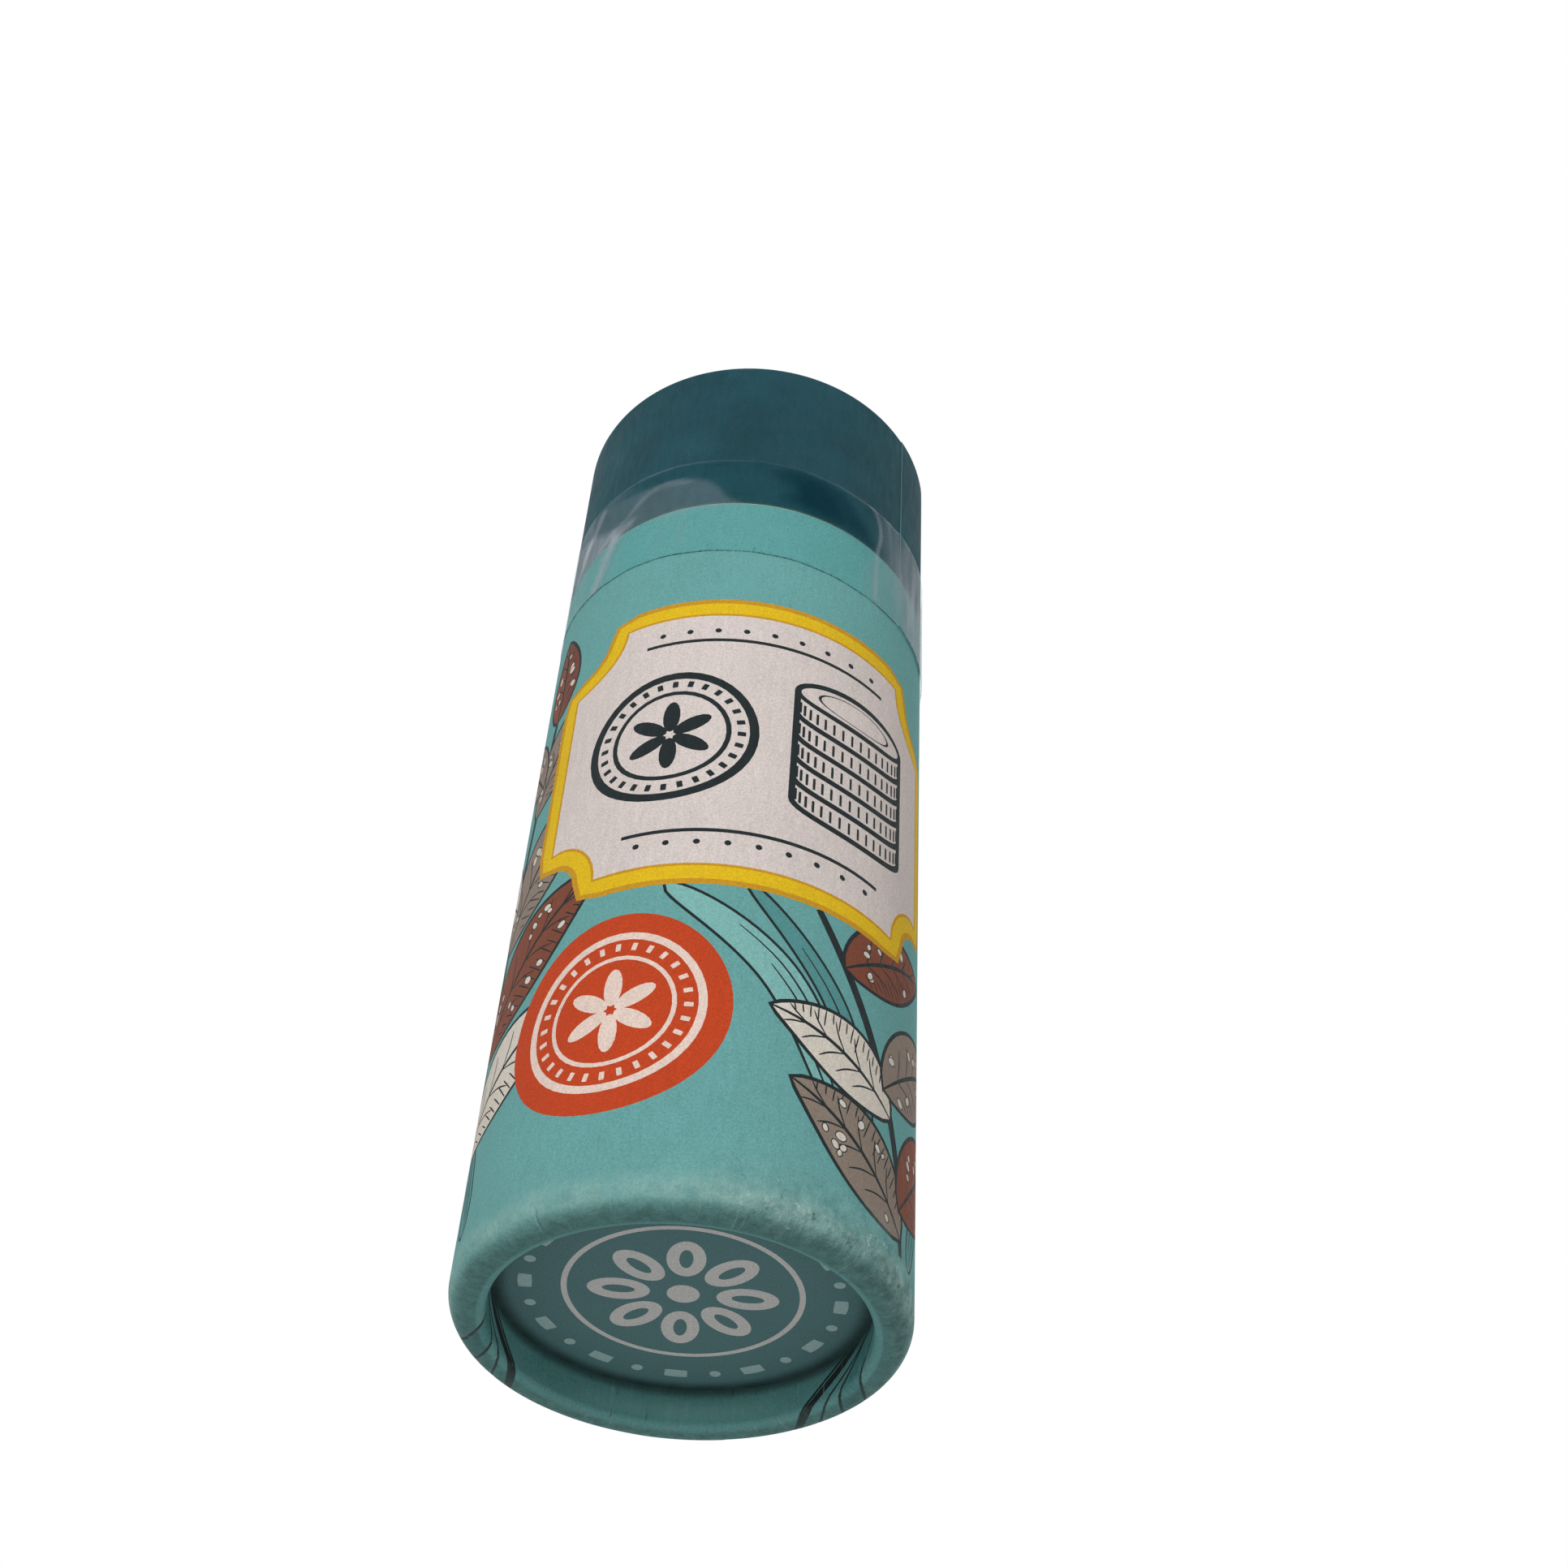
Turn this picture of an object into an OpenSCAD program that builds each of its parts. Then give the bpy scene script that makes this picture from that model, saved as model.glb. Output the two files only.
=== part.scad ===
// Paper coin tube: a two-part round box that holds one stack of coins.
// The base stands on z = 0 and the tube's axis is the Z axis.

/* [Coins] */
// Diameter of one coin
coin_d = 25; // [15:0.5:40]
// Thickness of one coin over its raised rims
coin_t = 3; // [1.6:0.1:4]
// Number of coins in the stack
coin_count = 26; // [5:1:40]
// Width of the raised rim of a coin
coin_rim_w = 1.2; // [0.6:0.1:2]
// Depth of the coin's field below its rim
coin_field_depth = 0.3; // [0.1:0.05:0.5]
// Radius of the low disc in the middle of each coin face
coin_boss_r = 6.5; // [2:0.1:7]
// Height of that disc above the field
coin_boss_h = 0.15; // [0.05:0.05:0.3]
// Chamfer on the coin's outer corners
coin_chamfer = 0.15; // [0.05:0.05:0.4]

/* [Tube] */
// Gap between a coin's edge and the neck's bore, on the radius
coin_gap = 0.5; // [0.2:0.1:1.5]
// Wall of the inner neck tube
neck_wall = 0.95; // [0.5:0.05:2]
// Gap between the neck and the outer tube that it is glued into, on the radius
neck_glue_gap = 0.05; // [0.02:0.01:0.2]
// Wall of the rolled board, in the tube and in the cap
board_wall = 1.85; // [1.2:0.05:3]
// Thickness of the printed paper wrap
wrap_t = 0.15; // [0.08:0.01:0.25]
// Height of the join where the cap meets the tube
join_z = 70.5; // [25:0.5:80]

/* [Base] */
// Depth of the recess in the base
base_recess = 3.2; // [2.5:0.1:8]
// How far the rolled rim reaches inward past the bore, on the radius
lip_w = 0.7; // [0.3:0.05:1.2]
// How much the recess widens again on the way up to the disc, on the radius
lip_flare = 0.1; // [0:0.05:0.3]
// Rounding of the rolled rim on its outside
rim_round_out = 1.6; // [0.6:0.05:2]
// Rounding of the rolled rim on its inside
rim_round_in = 0.6; // [0.3:0.05:0.8]
// Thickness of the board discs that close the base and the cap
disc_t = 1.2; // [0.6:0.1:3]
// Thickness of the paper glued on either side of those discs
paper_t = 0.15; // [0.08:0.01:0.3]
// Gap around a disc in its tube, on the radius
disc_gap = 0.05; // [0.02:0.01:0.3]
// Gap around the base liner inside the neck, on the radius
liner_gap = 0.1; // [0.05:0.05:0.5]

/* [Cap] */
// Headroom between the top coin and the cap's liner
headroom = 3; // [0.5:0.5:15]
// Sliding gap between the cap and the neck, on the radius
cap_gap = 0.2; // [0.1:0.05:0.5]
// Depth of the recess in the top of the cap
cap_recess = 3.6; // [1:0.1:6]
// Rounding of the cap's top edge
cap_round = 0.6; // [0.3:0.05:0.8]
// Gap between the neck's top edge and the cap's liner
neck_top_gap = 0.5; // [0.3:0.1:2]
// Raw board left bare by the wrap at the cap's lower edge
cap_bare_edge = 0.25; // [0.1:0.05:1]

/* [Seal] */
// Width of the clear tape round the join
tape_w = 12; // [6:0.5:16]
// Thickness of the tape
tape_t = 0.08; // [0.04:0.01:0.2]
// Gap between the tape and the wrap, on the radius
tape_gap = 0.15; // [0.1:0.01:0.3]
// How far the middle of the tape lies above the join
tape_rise = 0.2; // [-2:0.1:2]

/* [Hidden] */
$fn = 96;

function coin_name(i) = str("coin_", i < 10 ? "0" : "", i);

// Radii, from the coin outwards
coin_r = coin_d/2;
neck_bore_r = coin_r + coin_gap;
neck_r = neck_bore_r + neck_wall;
tube_bore_r = neck_r + neck_glue_gap;
tube_board_r = tube_bore_r + board_wall;
tube_r = tube_board_r + wrap_t;
cap_bore_r = neck_r + cap_gap;
cap_board_r = tube_r - wrap_t;
turn_in_r = cap_bore_r - wrap_t;
tape_in_r = tube_r + tape_gap;

// Rolled rim of the base. Its two roundings leave a flat land between them.
outer_round_share = 0.7;
inner_round_share = 0.25;
lip_r = tube_bore_r - lip_w;
rim_w = tube_r - lip_r;
round_out = min(rim_round_out, rim_w*outer_round_share);
round_in = min(rim_round_in, rim_w*inner_round_share);
core_in_r = lip_r + round_in;
core_out_r = tube_r - round_out;

// Heights, from the base upwards
base_print_z = base_recess;
base_disc_z = base_print_z + paper_t;
base_liner_z = base_disc_z + disc_t;
coin_floor = base_liner_z + paper_t;
cap_liner_z = coin_floor + coin_count*coin_t + headroom;
cap_disc_z = cap_liner_z + paper_t;
cap_print_z = cap_disc_z + disc_t;
cap_floor = cap_print_z + paper_t;
cap_top = cap_floor + cap_recess;
neck_top = cap_liner_z - neck_top_gap;
tape_z = join_z + tape_rise - tape_w/2;

// Colours
wrap_teal = [0.42, 0.65, 0.63];
cap_teal = [0.16, 0.32, 0.36];
disc_teal = [0.26, 0.36, 0.37];
board_grey = [0.73, 0.69, 0.62];
neck_white = [0.86, 0.84, 0.80];
liner_white = [0.90, 0.89, 0.86];
tape_clear = [0.90, 0.93, 0.93, 0.35];
coin_gold = [0.78, 0.62, 0.30];

// A round band about the Z axis
module band(r_in, r_out, z_low, z_high) {
    rotate_extrude()
        translate([r_in, z_low])
            square([r_out - r_in, z_high - z_low]);
}

// Quarter round of the rim, below a centre at that radius and height, between
// the centre and the rim's side at side_r
module rim_corner(centre_r, centre_z, corner_r, side_r) {
    intersection() {
        translate([centre_r, centre_z])
            circle(r = corner_r);
        translate([min(centre_r, side_r), 0])
            square([abs(side_r - centre_r), centre_z]);
    }
}

// Section of the tube's wall with its rolled rim. Everything nearer than skin
// to the outside, the rim and the recess wall is left off.
module tube_section(skin) {
    rim_corner(core_out_r, round_out, round_out - skin, tube_r);
    rim_corner(core_in_r, round_in, round_in - skin, lip_r);
    translate([core_in_r, skin])
        square([core_out_r - core_in_r, base_recess - skin]);
    polygon([
        [lip_r + skin, round_in],
        [core_in_r, round_in],
        [core_in_r, base_recess],
        [lip_r + lip_flare + skin, base_recess]
    ]);
    translate([core_in_r, round_out])
        square([tube_r - skin - core_in_r, base_recess - round_out]);
    translate([tube_bore_r, base_recess])
        square([tube_r - skin - tube_bore_r, join_z - base_recess]);
}

// Section of the cap's wall, with its top edge rounded on both sides
module cap_section(r_in, r_out, z_low, z_high, rounding) {
    translate([r_in, z_low])
        square([r_out - r_in, z_high - rounding - z_low]);
    translate([r_in + rounding, z_high - rounding])
        circle(r = rounding);
    translate([r_out - rounding, z_high - rounding])
        circle(r = rounding);
    translate([r_in + rounding, z_low])
        square([r_out - r_in - rounding*2, z_high - z_low]);
}

// Rolled board wall of the tube, curled in at the base
module tube_board() {
    color(board_grey)
        rotate_extrude()
            tube_section(wrap_t);
}

// Printed paper glued round the tube, over the rim and into the recess
module tube_wrap() {
    color(wrap_teal)
        rotate_extrude()
            difference() {
                tube_section(0);
                tube_section(wrap_t);
            }
}

// Inner tube that lines the tube and stands up into the cap
module neck_tube() {
    color(neck_white)
        band(neck_bore_r, neck_r, base_liner_z, neck_top);
}

// Board disc held between the rolled rim and the neck
module base_disc() {
    color(board_grey)
        band(0, tube_bore_r - disc_gap, base_disc_z, base_liner_z);
}

// Printed paper on the outside of the base disc
module base_print() {
    color(disc_teal)
        band(0, tube_bore_r - disc_gap, base_print_z, base_disc_z);
}

// White paper on the inside of the base disc, under the first coin
module base_liner() {
    color(liner_white)
        band(0, neck_bore_r - liner_gap, base_liner_z, coin_floor);
}

// Rolled board wall of the cap
module cap_board() {
    color(board_grey)
        rotate_extrude()
            cap_section(cap_bore_r, cap_board_r, join_z, cap_top - wrap_t, cap_round - wrap_t);
}

// Dark paper round the cap, turned in over its top edge down to the disc
module cap_wrap() {
    color(cap_teal)
        rotate_extrude()
            difference() {
                cap_section(turn_in_r, tube_r, join_z + cap_bare_edge, cap_top, cap_round);
                cap_section(cap_bore_r, cap_board_r, join_z, cap_top - wrap_t, cap_round - wrap_t);
                translate([0, join_z])
                    square([cap_bore_r, cap_floor - join_z]);
            }
}

// Board disc in the top of the cap
module cap_disc() {
    color(board_grey)
        band(0, cap_bore_r - disc_gap, cap_disc_z, cap_print_z);
}

// Dark paper on the outside of the cap disc
module cap_print() {
    color(cap_teal)
        band(0, cap_bore_r - disc_gap, cap_print_z, cap_floor);
}

// White paper on the inside of the cap disc
module cap_liner() {
    color(liner_white)
        band(0, cap_bore_r - disc_gap, cap_liner_z, cap_disc_z);
}

// Clear tape round the join of tube and cap
module seal_tape() {
    color(tape_clear)
        band(tape_in_r, tape_in_r + tape_t, tape_z, tape_z + tape_w);
}

// Half section of one coin, with raised rims and a low disc on both faces
module coin_section() {
    field_r = coin_r - coin_rim_w;
    boss_depth = coin_field_depth - coin_boss_h;
    polygon([
        [0, boss_depth],
        [coin_boss_r, boss_depth],
        [coin_boss_r, coin_field_depth],
        [field_r, coin_field_depth],
        [field_r, 0],
        [coin_r - coin_chamfer, 0],
        [coin_r, coin_chamfer],
        [coin_r, coin_t - coin_chamfer],
        [coin_r - coin_chamfer, coin_t],
        [field_r, coin_t],
        [field_r, coin_t - coin_field_depth],
        [coin_boss_r, coin_t - coin_field_depth],
        [coin_boss_r, coin_t - boss_depth],
        [0, coin_t - boss_depth]
    ]);
}

// One coin of the stack, counted from the base
module coin(number) {
    color(coin_gold)
        translate([0, 0, coin_floor + (number - 1)*coin_t])
            rotate_extrude()
                coin_section();
}

tube_board();
tube_wrap();
neck_tube();
base_disc();
base_print();
base_liner();
cap_board();
cap_wrap();
cap_disc();
cap_print();
cap_liner();
seal_tape();
for (i = [1:coin_count])
    coin(i);
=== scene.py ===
import random
from math import cos, degrees, exp, hypot, pi, radians, sin

import bpy
import numpy as np
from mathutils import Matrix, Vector
from mathutils.geometry import delaunay_2d_cdt


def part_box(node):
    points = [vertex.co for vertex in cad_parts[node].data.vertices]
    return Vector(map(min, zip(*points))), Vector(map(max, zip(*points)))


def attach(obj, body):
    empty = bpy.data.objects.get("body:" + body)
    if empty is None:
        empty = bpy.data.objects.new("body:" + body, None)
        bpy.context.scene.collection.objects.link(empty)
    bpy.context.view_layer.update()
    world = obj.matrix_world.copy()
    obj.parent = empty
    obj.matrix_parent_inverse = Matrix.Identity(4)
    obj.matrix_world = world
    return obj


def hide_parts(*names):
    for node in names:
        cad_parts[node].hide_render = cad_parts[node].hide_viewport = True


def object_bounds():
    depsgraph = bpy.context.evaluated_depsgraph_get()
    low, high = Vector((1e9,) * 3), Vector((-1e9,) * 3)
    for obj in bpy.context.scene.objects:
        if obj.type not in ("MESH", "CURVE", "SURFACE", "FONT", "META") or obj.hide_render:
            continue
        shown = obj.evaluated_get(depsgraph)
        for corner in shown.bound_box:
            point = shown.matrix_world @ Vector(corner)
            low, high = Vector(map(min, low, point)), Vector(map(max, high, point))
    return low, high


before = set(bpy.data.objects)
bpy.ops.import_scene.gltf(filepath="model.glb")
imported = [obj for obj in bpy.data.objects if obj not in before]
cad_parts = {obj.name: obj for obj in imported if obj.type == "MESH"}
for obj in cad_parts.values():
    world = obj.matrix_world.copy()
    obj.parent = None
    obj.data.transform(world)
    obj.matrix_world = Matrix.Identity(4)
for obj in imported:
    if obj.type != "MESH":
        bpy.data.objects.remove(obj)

cadLow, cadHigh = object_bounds()
mm = 0.001  # every length below is in millimetres until it goes into a mesh
scene = bpy.context.scene
print("frame loaded:", len(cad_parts), "nodes")


def cadSpan(node):  # radius, lowest and highest height of a round CAD node
    low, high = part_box(node)
    return high.x / mm, low.z / mm, high.z / mm


tubeR, _, joinZ = cadSpan("tube_wrap")
boardR, _, _ = cadSpan("tube_board")
neckR, neckLow, neckTop = cadSpan("neck_tube")
discR, recessZ, _ = cadSpan("base_print")
capBoardR, _, capBoardTop = cadSpan("cap_board")
_, capWrapLow, capTop = cadSpan("cap_wrap")
capDiscR, _, capFloorZ = cadSpan("cap_print")
coinR, _, _ = cadSpan("coin_01")
wrapT = tubeR - boardR
tubeRound = 2 * pi * tubeR


# Colours and short ways to wire a shader

inks = {
    "teal": (104, 162, 160),
    "deepTeal": (84, 143, 143),
    "paleTeal": (126, 181, 177),
    "offWhite": (214, 203, 198),
    "yellow": (225, 186, 31),
    "amber": (199, 147, 38),
    "orange": (190, 69, 34),
    "brown": (122, 70, 52),
    "taupe": (140, 126, 114),
    "cream": (216, 208, 196),
    "ink": (29, 37, 39),
    "pale": (228, 206, 194),
    "rawEdge": (208, 204, 192),
    "discTeal": (90, 127, 129),
    "discPale": (217, 216, 213),
    "discRing": (168, 198, 197),
    "capTeal": (27, 68, 77),
    "capEdge": (92, 128, 130),
}


def toLinear(channel):
    c = channel / 255
    return c / 12.92 if c <= 0.04045 else ((c + 0.055) / 1.055) ** 2.4


def paint(red, green, blue):  # a screen colour as the shader wants it
    return (toLinear(red), toLinear(green), toLinear(blue), 1.0)


class Wiring:  # short ways to add nodes to one shader tree
    def __init__(self, tree):
        self.tree = tree

    def add(self, kind, **values):
        node = self.tree.nodes.new("ShaderNode" + kind)
        for key, value in values.items():
            setattr(node, key, value)
        return node

    def feed(self, socket, value):  # a link where the value is another node's output
        if isinstance(value, bpy.types.NodeSocket):
            self.tree.links.new(value, socket)
        else:
            socket.default_value = value

    def maths(self, operation, first, second=0.0):
        node = self.add("Math", operation=operation)
        self.feed(node.inputs[0], first)
        self.feed(node.inputs[1], second)
        return node.outputs[0]

    def times(self, first, *others):
        for other in others:
            first = self.maths("MULTIPLY", first, other)
        return first

    def vectorMaths(self, operation, vector):
        node = self.add("VectorMath", operation=operation)
        self.feed(node.inputs[0], vector)
        return node.outputs["Value" if operation == "LENGTH" else "Vector"]

    def split(self, vector):
        node = self.add("SeparateXYZ")
        self.feed(node.inputs[0], vector)
        return node.outputs

    def spread(self, value, low, high, toLow, toHigh, smooth=False):
        node = self.add("MapRange", clamp=True)
        if smooth:
            node.interpolation_type = "SMOOTHSTEP"
        self.feed(node.inputs["Value"], value)
        for key, number in zip(("From Min", "From Max", "To Min", "To Max"), (low, high, toLow, toHigh)):
            self.feed(node.inputs[key], number)
        return node.outputs[0]

    def rise(self, length, low, high, toLow=0.0, toHigh=1.0):  # soft change between two lengths in mm
        return self.spread(length, low * mm, high * mm, toLow, toHigh, smooth=True)

    def fall(self, length, low, high):
        return self.rise(length, low, high, 1.0, 0.0)

    def blend(self, share, first, second, mode="MIX"):
        node = self.add("Mix", data_type="RGBA", blend_type=mode)
        self.feed(node.inputs["Factor"], share)
        self.feed(node.inputs[6], first)
        self.feed(node.inputs[7], second)
        return node.outputs[2]

    def over(self, share, colour, cover):  # a screen colour laid over another by that share
        return self.blend(share, colour, paint(*cover))

    def layered(self, share, first, second):  # two surfaces, the second on top by that share
        node = self.add("MixShader")
        self.feed(node.inputs[0], share)
        self.feed(node.inputs[1], first)
        self.feed(node.inputs[2], second)
        return node.outputs[0]


class Finish(Wiring):  # one material, with the places and noises that its nodes start from
    def __init__(self, name):
        self.material = bpy.data.materials.new(name)
        self.material.use_nodes = True
        super().__init__(self.material.node_tree)
        self.shader = self.tree.nodes["Principled BSDF"]
        self.place = self.add("TexCoord").outputs["Object"]

    def stretched(self, scale):
        node = self.add("Mapping")
        self.feed(node.inputs["Vector"], self.place)
        node.inputs["Scale"].default_value = scale
        return node.outputs[0]

    def radius(self):  # distance from the tube's axis
        return self.vectorMaths("LENGTH", self.stretched((1.0, 1.0, 0.0)))

    def noise(self, size, detail=3.0, rough=0.55, vector=None):  # size of the blotches in mm
        node = self.add("TexNoise")
        self.feed(node.inputs["Vector"], vector or self.place)
        node.inputs["Scale"].default_value = 1 / (size * mm)
        node.inputs["Detail"].default_value = detail
        node.inputs["Roughness"].default_value = rough
        return node.outputs["Fac"]

    def vary(self, noise, low, high):  # a noise seldom leaves the range from 0.3 to 0.7
        return self.spread(noise, 0.3, 0.7, low, high)

    def spots(self, noise, reach, vector=None):
        return self.spread(self.noise(*noise, vector), *reach)

    def toned(self, base, tone):  # a colour made darker or lighter all over
        tint = self.add("CombineColor")
        for socket in tint.inputs[:3]:
            self.feed(socket, tone)
        return self.blend(1.0, base, tint.outputs[0], "MULTIPLY")

    def relief(self, value, depth, below=None):  # depth in mm
        node = self.add("Bump")
        self.feed(node.inputs["Height"], value)
        node.inputs["Distance"].default_value = depth * mm
        if below is not None:
            self.feed(node.inputs["Normal"], below)
        return node.outputs[0]

    def finish(self, colour, roughness, normal, gloss=None):
        self.feed(self.shader.inputs["Base Color"], colour)
        self.feed(self.shader.inputs["Roughness"], roughness)
        self.feed(self.shader.inputs["Normal"], normal)
        if gloss is not None:
            self.shader.inputs["Specular IOR Level"].default_value = gloss
        return self.material


# Camera, lamps, floor and background

stage = {
    "lens": 49.863,
    "cameraPlace": (0.0, -132.766, -76.053),
    "cameraTurn": (134.275, -2.827, -4.711),
    "cameraNearest": 5.0,
    "floorSize": 3000,
    "floorDrop": 0.05,
    "floorColour": (250, 250, 249),
    "floorRoughness": 0.9,
    "floorFade": (110, 340),
    "ambient": 0.34,
}
lamps = {
    "keyLamp": {"place": (-135, -320, 42), "size": 170, "power": 0.66},
    "fillLamp": {"place": (440, -320, 160), "size": 320, "power": 0.45},
    "lowLamp": {"place": (-60, -210, -420), "size": 260, "power": 0.19},
    "backLamp": {"place": (140, 460, 240), "size": 320, "power": 1.3},
    "topLamp": {"place": (60, 20, 560), "size": 300, "power": 0.8},
}


def placed(name, data):  # a new object in the scene
    thing = bpy.data.objects.new(name, data)
    scene.collection.objects.link(thing)
    return thing


def addCamera():
    camera = placed("camera", bpy.data.cameras.new("camera"))
    camera.data.lens = stage["lens"]
    camera.data.clip_start = stage["cameraNearest"] * mm
    camera.location = [v * mm for v in stage["cameraPlace"]]
    camera.rotation_euler = [radians(v) for v in stage["cameraTurn"]]
    scene.camera = camera


def addLamps():
    middle = (cadLow + cadHigh) / 2
    for name, lamp in lamps.items():
        light = bpy.data.lights.new(name, "AREA")
        light.shape = "DISK"
        light.size = lamp["size"] * mm
        light.energy = lamp["power"]
        holder = placed(name, light)
        holder.location = [v * mm for v in lamp["place"]]
        holder.rotation_euler = (middle - holder.location).to_track_quat("-Z", "Y").to_euler()
        holder.visible_camera = False
        holder.visible_glossy = False


def addFloor():
    half = stage["floorSize"] * mm / 2
    drop = -stage["floorDrop"] * mm
    mesh = bpy.data.meshes.new("floor")
    corners = [(-half, -half, drop), (half, -half, drop), (half, half, drop), (-half, half, drop)]
    mesh.from_pydata(corners, [], [(0, 1, 2, 3)])
    floor = placed("floor", mesh)
    floor.visible_shadow = False  # the low lamp reaches the base through it
    floor.visible_diffuse = False
    floor.visible_glossy = False
    f = Finish("floorPaper")
    f.shader.inputs["Base Color"].default_value = paint(*stage["floorColour"])
    f.shader.inputs["Roughness"].default_value = stage["floorRoughness"]
    seeThrough = f.add("BsdfTransparent")
    side = f.add("NewGeometry")
    fade = f.rise(f.vectorMaths("LENGTH", f.place), *stage["floorFade"])
    clear = f.maths("MAXIMUM", side.outputs["Backfacing"], fade)  # it shows from above and near only
    surface = f.layered(clear, f.shader.outputs[0], seeThrough.outputs[0])
    f.feed(f.tree.nodes["Material Output"].inputs["Surface"], surface)
    mesh.materials.append(f.material)


def addWorld():
    world = bpy.data.worlds.new("studio")
    scene.world = world
    world.use_nodes = True
    w = Wiring(world.node_tree)
    background = w.tree.nodes["Background"]
    background.inputs["Color"].default_value = (1, 1, 1, 1)
    path = w.add("LightPath").outputs
    seen = w.maths("MAXIMUM", path["Is Camera Ray"], path["Is Glossy Ray"])
    seen = w.maths("MAXIMUM", seen, path["Is Transmission Ray"])
    w.feed(background.inputs["Strength"], w.spread(seen, 0.0, 1.0, stage["ambient"], 1.0))
    scene.view_settings.view_transform = "Standard"


addCamera()
addLamps()
addFloor()
addWorld()
print("stage ready: camera,", len(lamps), "lamps, floor and background")


# Finishes. A noise is its size in mm, detail and roughness. A range is from, to and what they become.

rimWear = {
    "worn": (166, 198, 190),
    "scratched": (180, 209, 205),
    "dirt": (40, 62, 62),
    # colour of the stains, also used for painted shade on the far lip
    "stainAndShade": (62, 88, 84),
    # colour of the painted highlight on the far wall of the recess
    "wallHighlight": inks["paleTeal"],
    "alongShare": 0.14,  # how fast marks change across the rim, against round it
    "fade": (0.2, 6.0),  # heights in mm between which the wear thins out
    "edge": (1.05, 3.1),
    "lip": (13.9, 14.7),  # radii in mm where the inside turns into the outside
    "outerSoft": 0.6,
    "knockedWay": (0.8, -0.6),
    "knocks": ((11.0, 2.0, 0.5), (0.4, 0.62, 0.6, 1.1)),
    "knockedSide": (0.5, 0.98, 0.85, 1.6),
    "rubNoise": (0.85, 6.0, 0.78),
    "rubs": (0.4, 0.62, 0.35, 0.95),
    "rubPatches": ((6.0, 3.0, 0.6), (0.35, 0.6, 0.45, 1.0)),
    "rubShare": 0.7,
    "aboveShare": 0.8,
    "scuffNoise": (0.55, 2.5, 0.65),
    "scuffLimit": (0.0, 1.0, 0.82, 0.59),
    "scuffMore": (1.0, 1.6, 0.0, 0.055),
    "scuffSoft": 0.09,
    "scuffShare": 0.75,
    "nickNoise": (0.55, 3.0, 0.7),
    "nickStretch": (1.0, 1.0, 0.8),
    "nickLimit": (0.0, 1.0, 0.16, 0.385),
    "nickSoft": 0.07,
    "nickShare": 0.85,
    "dentNoise": (1.6, 6.0, 0.72),
    "dents": (0.38, 0.62, 0.0, 1.0),
    "mottled": (0.45, 0.9, 0.22, 0.31),
    # a stain low on the lip that reaches further in on the far side, where it is painted shade
    "stainAndShadeHeight": (0.15, 0.85),
    "stainAndShadeTurn": (0.3, 0.8),
    "stainAndShadeRadius": (13.75, 13.4, 14.05),  # its start to the left, its start to the right, and its end; where it starts further in, it is painted shade on the far lip
    "stainAndShadeSpots": ((1.0, 6.0, 0.78), (0.38, 0.62, 0.28, 0.66)),
    "under": (0.5, 2.2),
    "cracks": ((0.34, 3.0, 0.7), (0.29, 0.36, 1.0, 0.0)),
    "crackShare": 0.5,
    "fibreNoise": (0.5, 3.0, 0.7),
    "fibres": (0.6, 0.7, 0.0, 0.32),
    # a faint painted highlight along the lip's inner fold, in the worn colour
    "foldHighlightRadius": (13.72, 14.0),
    "foldHighlightHeight": (0.25, 0.7),
    "foldHighlightShare": (0.4, 0.6, 0.0, 0.1),
    # where the painted highlight lies on the far wall: heights, way round, and share
    "wallHighlightStart": (0.3, 1.3),
    "wallHighlightEnd": (1.5, 2.6),
    "wallHighlightTurn": (0.78, 1.0, 0.0, 1.0),
    "wallHighlightShare": (0.35, 0.65, 0.45, 0.95),
    "rootShade": (0.9, 0.1, 0.75),  # heights in mm below the disc, and share of the painted shade in that corner, in the dirt colour
    "scuffDepth": 0.06,
    "dentDepth": 0.35,
    "crackDepth": 0.02,
}


def rimPlaces(f):  # height, radius, way round, and places on a sheet that follows the rolled rim
    height = f.split(f.place)["Z"]
    way = f.split(f.vectorMaths("NORMALIZE", f.stretched((1.0, 1.0, 0.0))))
    radius = f.radius()
    sheet = f.add("CombineXYZ")
    f.feed(sheet.inputs[0], f.times(way["X"], tubeR * mm))
    f.feed(sheet.inputs[1], f.times(way["Y"], tubeR * mm))
    f.feed(sheet.inputs[2], f.times(f.maths("SUBTRACT", height, radius), rimWear["alongShare"]))
    return height, radius, way["X"], way["Y"], sheet.outputs[0]


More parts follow.
